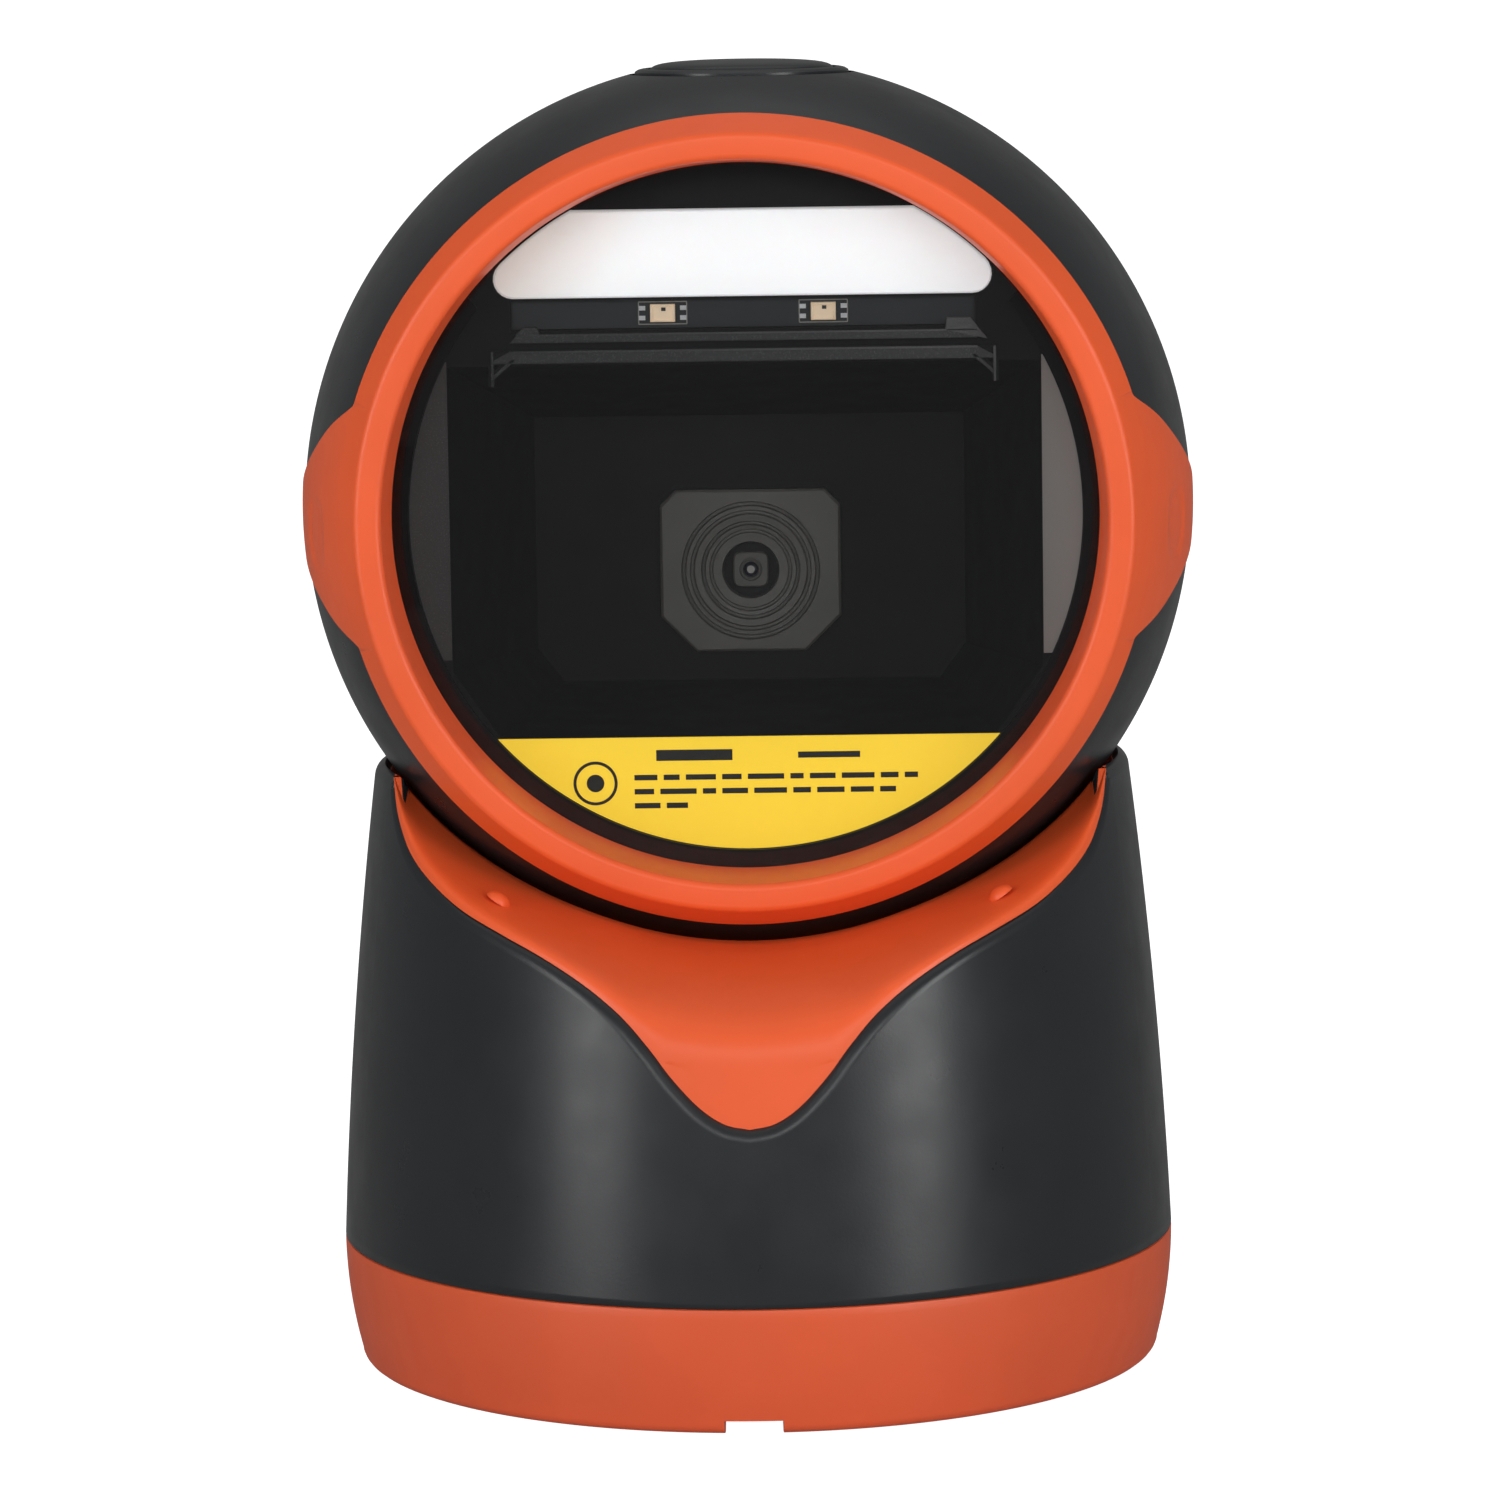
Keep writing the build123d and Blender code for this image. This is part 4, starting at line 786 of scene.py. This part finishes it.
def make_label():
    """Yellow plate with a plain ring-and-dot mark and bars where printing would be."""
    low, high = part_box("label_plate")
    radius = MASK_IN_R - 0.1 * MM
    top = high.z - BALL.z
    end = acos(top / radius)
    outline = [Vector((radius * sin(a), low.y, BALL.z + radius * cos(a)))
               for a in (end + (TAU - 2 * end) * s / 96 for s in range(97))]
    finish_mesh("yellow_plate", prism(outline, Vector((0, high.y - low.y, 0))), "yellow", ["label_plate"])

    ink, proud = 0.03 * MM, 0.03 * MM
    face = low.y - proud
    middle = BALL.z
    marks = [flat_ring(-17.4 * MM, middle - 30.2 * MM, 2.5 * MM, 2.15 * MM, face, ink),
             flat_ring(-17.4 * MM, middle - 30.2 * MM, 1.0 * MM, 0.02 * MM, face, ink)]
    bars = [(-6.2, -27.1, 8.6, 1.25), (9.0, -27.2, 7.0, 0.7)]
    mark_widths = [2.6, 1.8, 3.4, 2.2, 4.1, 1.5, 2.9, 3.7, 2.0, 3.1]
    for row, (height, first, last) in enumerate(((-29.6, -13.0, 19.0), (-31.2, -13.0, 16.5), (-32.8, -13.0, -7.0))):
        x, k = first, row * 3
        while x < last:
            width = min(mark_widths[k % len(mark_widths)], last - x)
            bars.append((x + width / 2, height, width, 0.62))
            x += width + 0.7
            k += 1
    marks += [flat_box(x * MM, middle + z * MM, w * MM, h * MM, face, ink) for x, z, w, h in bars]
    finish_mesh("plate_marks", joined(marks), "mask_black", look=LOOKS["print_black"])


def make_rails():
    """Two raised rails under the light strip, with gussets at the upper corners of the tunnel, and lighter strips on
    their edges that are painted highlight.
    """
    y = Y_MASK_BACK - 0.75 * MM
    deep = 0.9 * MM

    def plate(points):
        outline = [Vector((x * MM, y, BALL.z + h * MM)) for x, h in points]
        return prism(outline, Vector((0, deep, 0)))

    shapes = [plate([(-26.2, 19.6), (26.2, 19.6), (26.2, 20.55), (-25.4, 20.55)]),
              plate([(-28.05, 17.3), (28.05, 17.3), (28.05, 17.75), (26.2, 18.75), (-26.2, 18.75), (-28.05, 17.75)]),
              plate([(-25.6, 20.5), (-22.7, 20.5), (-23.0, 21.4), (-24.6, 21.4)])]
    for side in (-1, 1):
        shapes.append(plate([(side * 25.2, 17.9), (side * 28.0, 15.5), (side * 28.0, 16.1), (side * 26.0, 17.9)]))
    soften(finish_mesh("frame_rails", joined(shapes), "inner_black", look=RAIL), 0.12 * MM, 2)

    # Painted highlight: thin lighter strips laid just in front of the rails' top edges, a corner piece and the
    # tunnel's side edges, where light catches them.
    y -= 0.03 * MM
    shapes = [plate([(-25.4, 20.4), (26.2, 20.4), (26.2, 20.62), (-25.4, 20.62)]),
              plate([(-26.2, 18.5), (26.2, 18.5), (26.2, 18.75), (-26.2, 18.75)]),
              plate([(22.6, 20.5), (27.3, 19.5), (25.4, 21.9), (22.8, 21.9)])]
    for side in (-1, 1):
        outer, inner = side * 28.25, side * 27.95
        shapes.append(plate([(inner, 14.75), (outer, 14.75), (outer, 18.7), (inner, 18.7)]))
    soften(finish_mesh("rail_highlights", joined(shapes), "inner_black", look=RAIL_HIGHLIGHT), 0.05 * MM, 2)


def make_led_strip():
    """Outlines printed round the two small lights, and their warm bodies."""
    low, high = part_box("indicator_leds")
    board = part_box("led_board")
    middle_z = (low.z + high.z) / 2
    y = board[0].y - 0.03 * MM
    strokes, bodies, dots = [], [], []
    for side in (-1, 1):
        x = side * 9.0 * MM
        w, h, line = 5.4 * MM, 2.5 * MM, 0.12 * MM
        strokes += [flat_box(x, middle_z + s * h / 2, w, line, y, 0.03 * MM) for s in (-1, 1)]
        strokes += [flat_box(x + s * w / 2, middle_z, line, h, y, 0.03 * MM) for s in (-1, 1)]
        bodies.append(flat_box(x, middle_z, 2.8 * MM, 2.0 * MM, low.y + 0.2 * MM, high.y - low.y - 0.2 * MM))
        for dz in (-1, 1):
            bodies.append(flat_box(x, middle_z + dz * 0.85 * MM, 2.7 * MM, 0.2 * MM, low.y, 0.3 * MM))
        for dx in (-1, 1):
            bodies.append(flat_box(x + dx * 1.2 * MM, middle_z, 0.3 * MM, 1.9 * MM, low.y, 0.3 * MM))
        dots.append(flat_box(x + 0.1 * MM, middle_z + 0.45 * MM, 0.5 * MM, 0.4 * MM, low.y + 0.15 * MM, 0.2 * MM))
    finish_mesh("light_outlines", joined(strokes), "black_board", look=LOOKS["print_grey"])
    soften(finish_mesh("small_lights", joined(bodies), "led", ["indicator_leds"]), 0.06 * MM, 2)
    finish_mesh("light_dies", joined(dots), "led", look=LOOKS["chip"])


# ---------------- base
def wall_radius(z):
    """Outer radius of the base's black wall at a height, a shallow barrel through three levels."""
    span = (z - Z_SEAM) / (Z_RIM - Z_SEAM)
    mid = (Z_WAIST - Z_SEAM) / (Z_RIM - Z_SEAM)
    bulge = WAIST_R - (SEAM_R + (RIM_R - SEAM_R) * mid)
    return SEAM_R + (RIM_R - SEAM_R) * span + bulge * span * (1 - span) / (mid * (1 - mid))


def wall_point(x, z, inset=0.0):
    """Point on the front half of the wall above an x and a height."""
    radius = wall_radius(z)
    angle = asin(max(-1.0, min(1.0, x / radius)))
    return about_vertical(radius - inset, z, angle)


def wall_normal(point):
    """Outward normal of the wall."""
    z = point.z
    slope = (wall_radius(z + 1e-4) - wall_radius(z - 1e-4)) / 2e-4
    out = Vector((point.x, point.y, 0)).normalized()
    return (out - Vector((0, 0, slope))).normalized()


# Right half of the line where black shell and orange inlay meet, in mm: x and height, tip to rim
INLAY_LINE = [(0.0, 34.2), (2.8, 34.8), (5.6, 36.6), (8.6, 39.7), (11.2, 43.0), (14.2, 46.3), (18.0, 49.3),
              (22.6, 52.0), (27.4, 54.2), (32.0, 56.3), (35.6, 58.8), (37.9, 61.2), (39.1, 63.6), (39.8, 66.0),
              (40.2, 69.2)]


def inlay_edge(steps=7):
    """Points of the whole edge round the base: right half of the V, rim, left half of the V."""
    line = [Vector((x * MM, z * MM)) for x, z in curve_through(INLAY_LINE, steps)]
    right = [wall_point(p.x, p.y) for p in line]
    last = atan2(right[-1].x, -right[-1].y)
    rim = []
    count = 150
    for i in range(1, count):
        angle = last + (TAU - 2 * last) * i / count
        settle = min(1.0, min(i, count - i) / 7)
        z = line[-1].y + (Z_RIM - line[-1].y) * (settle * settle * (3 - 2 * settle))
        rim.append(about_vertical(wall_radius(z), z, angle))
    left = [Vector((-p.x, p.y, p.z)) for p in reversed(right[1:])]
    return right + rim + left


def along_edge(points, i):
    """Wall normal at a point of the edge, and the direction in the wall away from the inlay."""
    step = (points[(i + 1) % len(points)] - points[i - 1]).normalized()
    normal = wall_normal(points[i])
    return normal, step.cross(normal).normalized()


def clear_of_cup(point):
    """The point, moved out from the vertical axis if it lies inside the dish round the ball."""
    reach = sqrt(max((CUP_R + 0.03 * MM) ** 2 - (point.z - BALL.z) ** 2, 0.0))
    across = hypot(point.x, point.y)
    if across >= reach or across < 1 * MM:
        return point
    return Vector((point.x * reach / across, point.y * reach / across, point.z))


def make_base_shell():
    """Black wall with a rolled lip along the inlay and the rim, and the socket opening at the back."""
    edge = inlay_edge()
    lip, wall_steps = 1.5 * MM, 40
    foot = Z_SEAM + 0.15 * MM
    columns = []
    for i, point in enumerate(edge):
        normal, down = along_edge(edge, i)
        if down.z > 0:
            down = -down
        start = point + down * lip
        angle = atan2(start.x, -start.y)
        if angle < 0 and i > len(edge) // 2 - 2:
            angle += TAU
        column = []
        for s in range(wall_steps + 1):
            z = foot + (start.z - Z_SEAM - 0.15 * MM) * (s / wall_steps)
            column.append(about_vertical(wall_radius(z), z, angle))
        for s in range(1, 9):
            a = s / 8 * pi / 2
            rolled = point + down * lip * (1 - sin(a)) - normal * lip * 0.8 * (1 - cos(a))
            column.append(clear_of_cup(rolled) if point.z > Z_RIM - 3 * MM else rolled)
        inner = point + down * lip - normal * BASE_WALL
        column.append(clear_of_cup(inner) if point.z > Z_RIM - 3 * MM else inner)
        radius = wall_radius(point.z - 2 * MM) - BASE_WALL - 0.1 * MM
        column.append(about_vertical(radius, max(point.z - 4 * MM, Z_SEAM + 1 * MM), atan2(point.x, -point.y)))
        column.append(about_vertical(wall_radius(Z_SEAM) - BASE_WALL, foot, angle))
        column.append(about_vertical(SEAM_R - 0.25 * MM, Z_SEAM, angle))
        columns.append(column)
    mesh = grid_mesh(columns)
    jack_low, jack_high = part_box("data_jack")
    wide, narrow = 6.65 * MM, 3.9 * MM
    corners = [(-wide, 18.8 * MM), (wide, 18.8 * MM), (wide, 27.1 * MM), (narrow, 27.1 * MM),
               (narrow, 29.6 * MM), (-narrow, 29.6 * MM), (-narrow, 27.1 * MM), (-wide, 27.1 * MM)]
    soft = rounded([Vector(c) for c in corners], [0.6 * MM] * 8, 4)
    hole = prism([Vector((p.x, 40 * MM, p.y)) for p in soft], Vector((0, 20 * MM, 0)))
    mesh = cut(mesh, [hole])

    def rule(point, face_normal):
        radius = hypot(point.x, point.y)
        if point.z > Z_SEAM + 0.2 * MM and abs(radius - wall_radius(point.z)) < 4e-6:
            normal = wall_normal(point)
            if face_normal.dot(normal) > 0.985:
                return normal
        return None

    smooth_then(mesh, rule)
    finish_mesh("base_wall", mesh, "black_shell", ["base_shell"], body="base")


def smooth_then(mesh, rule):
    """Keeps smooth shading, but with exact normals where the rule knows them."""
    mesh.shade_smooth()
    mesh.set_sharp_from_angle(angle=radians(40))
    current = [n.vector.copy() for n in mesh.corner_normals]
    for face in mesh.polygons:
        for loop in face.loop_indices:
            known = rule(mesh.vertices[mesh.loops[loop].vertex_index].co, face.normal)
            if known is not None:
                current[loop] = known
    mesh.normals_split_custom_set(current)


def dish_lip(theta, arm, sunk):
    """Radius and depth of the dish's front lip, at an angle from straight down round the view axis."""
    side = ease((abs(degrees(theta)) - 18) / 32)
    y = max((-22 + 8 * side) * MM, face_depth(theta, arm, sunk) + 0.8 * MM)
    return min(max((47.3 + 2.05 * side) * MM, sqrt((CUP_R + 0.1 * MM) ** 2 - y * y)), arm - 0.05 * MM), y


def face_depth(theta, radius, sunk):
    """Depth of the inlay's flat face on the wall, at an angle and radius round the view axis."""
    return wall_point(radius * sin(theta), BALL.z - radius * cos(theta), sunk).y


def dish_apron(theta, arm, sunk):
    """Soft shoulder and slope from the wall up to the lip, as (radius, depth) along one angle."""
    lip_r, lip_y = dish_lip(theta, arm, sunk)
    drop = arm - lip_r
    top_r, bend_r = lip_r + min(drop * 0.985, 10.5 * MM), lip_r + min(drop * 0.55, 4.0 * MM)
    top_y = face_depth(theta, top_r, sunk)
    slope = (face_depth(theta, top_r + 0.1 * MM, sunk) - top_y) / (0.1 * MM)
    reach = lip_y - top_y
    top, bend = Vector((top_r, top_y)), Vector((bend_r, top_y + slope * (bend_r - top_r)))
    points = [top, top.lerp(bend, 0.5), bend,
              Vector((lip_r + min(drop * 0.45, 2.0 * MM), lip_y - reach * 0.55)), Vector((lip_r, lip_y))]
    out = []
    for s in range(33):
        t = s / 32
        u = 1 - t
        out.append(sum((p * comb(4, k) * u ** (4 - k) * t ** k for k, p in enumerate(points)), Vector((0, 0))))
    return out


def make_cradle():
    """Orange dish with its soft shoulder and V tongue, two stop pips, and its ring under the rim."""
    half = [Vector((x * MM, z * MM)) for x, z in curve_through(INLAY_LINE, 7)]
    outline = [Vector((-p.x, p.y)) for p in reversed(half[1:])] + half
    sunk = 0.9 * MM  # the orange face lies below the black lip
    columns = []
    for p in outline:
        arm = hypot(p.x, BALL.z - p.y)
        theta = atan2(p.x, BALL.z - p.y)

        def wall(radius, inset=sunk):
            return wall_point(radius * sin(theta), BALL.z - radius * cos(theta), inset)

        def dish(radius, y):
            drop = max(radius * cos(theta), BALL.z - Z_RIM + 0.15 * MM)  # never above the rim
            return Vector((copysign(sqrt(max(radius ** 2 - drop ** 2, 0)), theta), y, BALL.z - drop))

        lip_r, lip_y = dish_lip(theta, arm, sunk)
        apron = [dish(r, y) for r, y in dish_apron(theta, arm, sunk)]
        straight = arm - lip_r - min((arm - lip_r) * 0.985, 10.5 * MM)
        column = [wall(arm + 0.3 * MM, sunk + 0.3 * MM), wall(arm + 0.25 * MM)]
        for s in range(12):
            column.append(wall(arm - straight * s / 12))
        column += apron
        for s in range(1, 13):
            t = 1 - s / 12
            column.append(dish(CUP_R - (CUP_R - lip_r) * t * t, lip_y * t))
        for s in range(1, 9):
            y = 24 * MM * s / 8
            column.append(dish(sqrt(CUP_R ** 2 - y * y), y))
        depth = max(0.4 * MM, min(1.8 * MM, arm - CUP_R))
        for s in range(9):
            y = 24 * MM * (8 - s) / 8
            column.append(dish(sqrt(CUP_R ** 2 - y * y) + depth, y))
        lip_depth = min(1.3 * MM, (arm - lip_r) * 0.4)
        for s in range(1, 9):
            t = s / 8
            column.append(dish(CUP_R - (CUP_R - lip_r) * t * t + depth + (lip_depth - depth) * t, lip_y * t))
        columns.append(column)
    dish_mesh = grid_mesh(columns, wrap_columns=False)

    ring = []
    first, foot, top = radians(104), 52 * MM, Z_RIM - 1.7 * MM
    heights = [foot + (top - foot) * s / 12 for s in range(13)]
    rows = [(CUP_R, z) for z in heights] + [(CUP_R + 1.0 * MM, z) for z in reversed(heights)]
    for i in range(141):
        angle = first + (TAU - 2 * first) * i / 140
        ring.append([about_vertical(sqrt(r ** 2 - (BALL.z - z) ** 2), z, angle) for r, z in rows])

    pips = []
    for side in (-1, 1):
        x, z, y, radius = side * 27.2 * MM, 58.0 * MM, -28.0 * MM, 1.5 * MM
        theta = atan2(x, BALL.z - z)
        edge = min(half, key=lambda p: abs(atan2(p.x, BALL.z - p.y) - abs(theta)))
        slope = dish_apron(theta, hypot(edge.x, BALL.z - edge.y), sunk)
        seat_r, seat_y = min(slope, key=lambda p: abs(p.y - y))
        out = Vector((sin(theta), 0, -cos(theta)))
        seat = BALL + Vector((0, seat_y, 0)) + out * seat_r
        across = Vector((0, 1, 0))
        other = out.cross(across)
        columns = []
        for i in range(40):
            a = TAU * i / 40
            way = across * cos(a) + other * sin(a)
            column = [seat + out * 0.3 * MM]
            for s in range(9):
                b = s / 8 * pi / 2
                column.append(seat + way * radius * cos(b) - out * 1.05 * MM * sin(b))
            columns.append(column)
        pips.append(grid_mesh(columns))
    finish_mesh("cradle_dish", joined([dish_mesh, grid_mesh(ring, wrap_columns=False)] + pips), "orange_gloss",
                ["cradle"], body="base")


def make_base_ring():
    """Orange foot ring, drawn in towards the table, with its small front notch."""
    notch_half, notch_top = 3.25 * MM, Z_RING + 1.6 * MM
    angles = [TAU * i / 240 for i in range(240)]
    for side in (-1, 1):
        for nudge in (-0.02, 0.02):
            angles.append((side * (notch_half + nudge * MM) / RING_FOOT_R) % TAU)
    angles.sort()
    height = Z_SEAM - Z_RING
    inward = SEAM_R - RING_FOOT_R
    curve_r = (height ** 2 + inward ** 2) / (2 * inward)
    columns = []
    for angle in angles:
        x = RING_FOOT_R * sin(angle)
        in_notch = abs(x) < notch_half and cos(angle) > 0
        bottom = notch_top if in_notch else Z_RING
        section = [(Z_SEAM - 0.02 * MM, SEAM_R - 2.4 * MM), (Z_SEAM - 0.02 * MM, SEAM_R - 0.3 * MM),
                   (Z_SEAM - 0.12 * MM, SEAM_R - 0.08 * MM)]
        soft = 0.1 * MM if in_notch else 1.4 * MM
        for s in range(17):
            z = Z_SEAM - 0.35 * MM + (bottom + soft - Z_SEAM + 0.35 * MM) * s / 16
            section.append((z, SEAM_R - (curve_r - sqrt(curve_r ** 2 - (Z_SEAM - z) ** 2))))
        corner = section[-1][1]
        for s in range(1, 7):
            a = s / 6 * pi / 2
            section.append((bottom + soft * (1 - sin(a)), corner - soft * (1 - cos(a))))
        section += [(bottom, RING_FOOT_R - 1.6 * MM), (6.3 * MM, RING_FOOT_R - 1.6 * MM),
                    (6.4 * MM, SEAM_R - 2.4 * MM)]
        columns.append([about_vertical(r, z, angle) for z, r in section])
    # The foot ring wears the darker copy of the orange, which is painted shade.
    finish_mesh("foot_ring", grid_mesh(columns), "orange_gloss", ["base_ring"], body="base", look=LOOKS["orange_base"])


for make in (make_ball, make_bezel, make_button, make_window, make_diffuser, make_camera, make_label, make_rails,
             make_led_strip, make_base_shell, make_cradle, make_base_ring):
    make()


# ---------------- floor, lights and camera
def area_light(name, place, target, width, height, power):
    """Soft rectangular light that faces a point."""
    data = bpy.data.lights.new(name, "AREA")
    data.shape = "RECTANGLE"
    data.size, data.size_y = width, height
    data.energy = power
    lamp = bpy.data.objects.new(name, data)
    bpy.context.scene.collection.objects.link(lamp)
    lamp.location = place
    lamp.rotation_euler = (Vector(target) - Vector(place)).to_track_quat("-Z", "Y").to_euler()


def floor_look():
    """Pale matt floor, lifted to white for the camera."""
    material, tree, shader, place = new_material("floor")
    tree.links.new(two_tones(tree, spread(tree, noise(tree, place, 4, 3), 0, 1), (0.60, 0.60, 0.60),
                             (0.62, 0.62, 0.62)), shader.inputs["Base Color"])
    put(shader, "Roughness", 0.8)
    put(shader, "Emission Color", (1, 1, 1, 1))
    seen = tree.nodes.new("ShaderNodeLightPath").outputs["Is Camera Ray"]
    tree.links.new(spread(tree, seen, 0.0, 1.0, 0, 1), shader.inputs["Emission Strength"])
    return material


bpy.ops.mesh.primitive_grid_add(x_subdivisions=8, y_subdivisions=8, size=60)
floor = bpy.context.object
floor.name = "floor"
floor.data.materials.append(floor_look())
floor.visible_glossy = False

bpy.context.scene.view_settings.view_transform = "Standard"
world = bpy.data.worlds.new("studio")
bpy.context.scene.world = world
world.use_nodes = True
world.node_tree.nodes["Background"].inputs["Color"].default_value = (1, 1, 1, 1)
world.node_tree.nodes["Background"].inputs["Strength"].default_value = 0.2

sun = bpy.data.objects.new("overhead", bpy.data.lights.new("overhead", "SUN"))
sun.data.energy = 0.45
sun.data.angle = radians(70)
sun.rotation_euler = (radians(-8), 0, 0)
bpy.context.scene.collection.objects.link(sun)

aim = (0, 0, 0.06)
for side, name, power in ((-1, "left_softbox", 2.25), (1, "right_softbox", 2.5)):
    turn = radians(44)
    area_light(name, (side * 0.75 * sin(turn), -0.75 * cos(turn), 0.20), aim, 0.24, 0.5, power)
area_light("front_fill", (0, -1.25, 0.44), (0, 0, 0.09), 1.0, 0.25, 3.9)

view_distance, elevation, azimuth, roll = 0.756, radians(7.55), radians(1.0), radians(0.85)
target = Vector((-0.00018, 0, 0.06975))
eye = target + view_distance * Vector((sin(azimuth) * cos(elevation),
                                       -cos(azimuth) * cos(elevation), sin(elevation)))
camera = bpy.data.objects.new("camera", bpy.data.cameras.new("camera"))
camera.data.sensor_width = 36
camera.data.lens = 157.6
camera.location = eye
camera.rotation_euler = ((target - eye).to_track_quat("-Z", "Y").to_matrix()
                         @ Matrix.Rotation(-roll, 3, "Z")).to_euler()
bpy.context.scene.collection.objects.link(camera)
bpy.context.scene.camera = camera
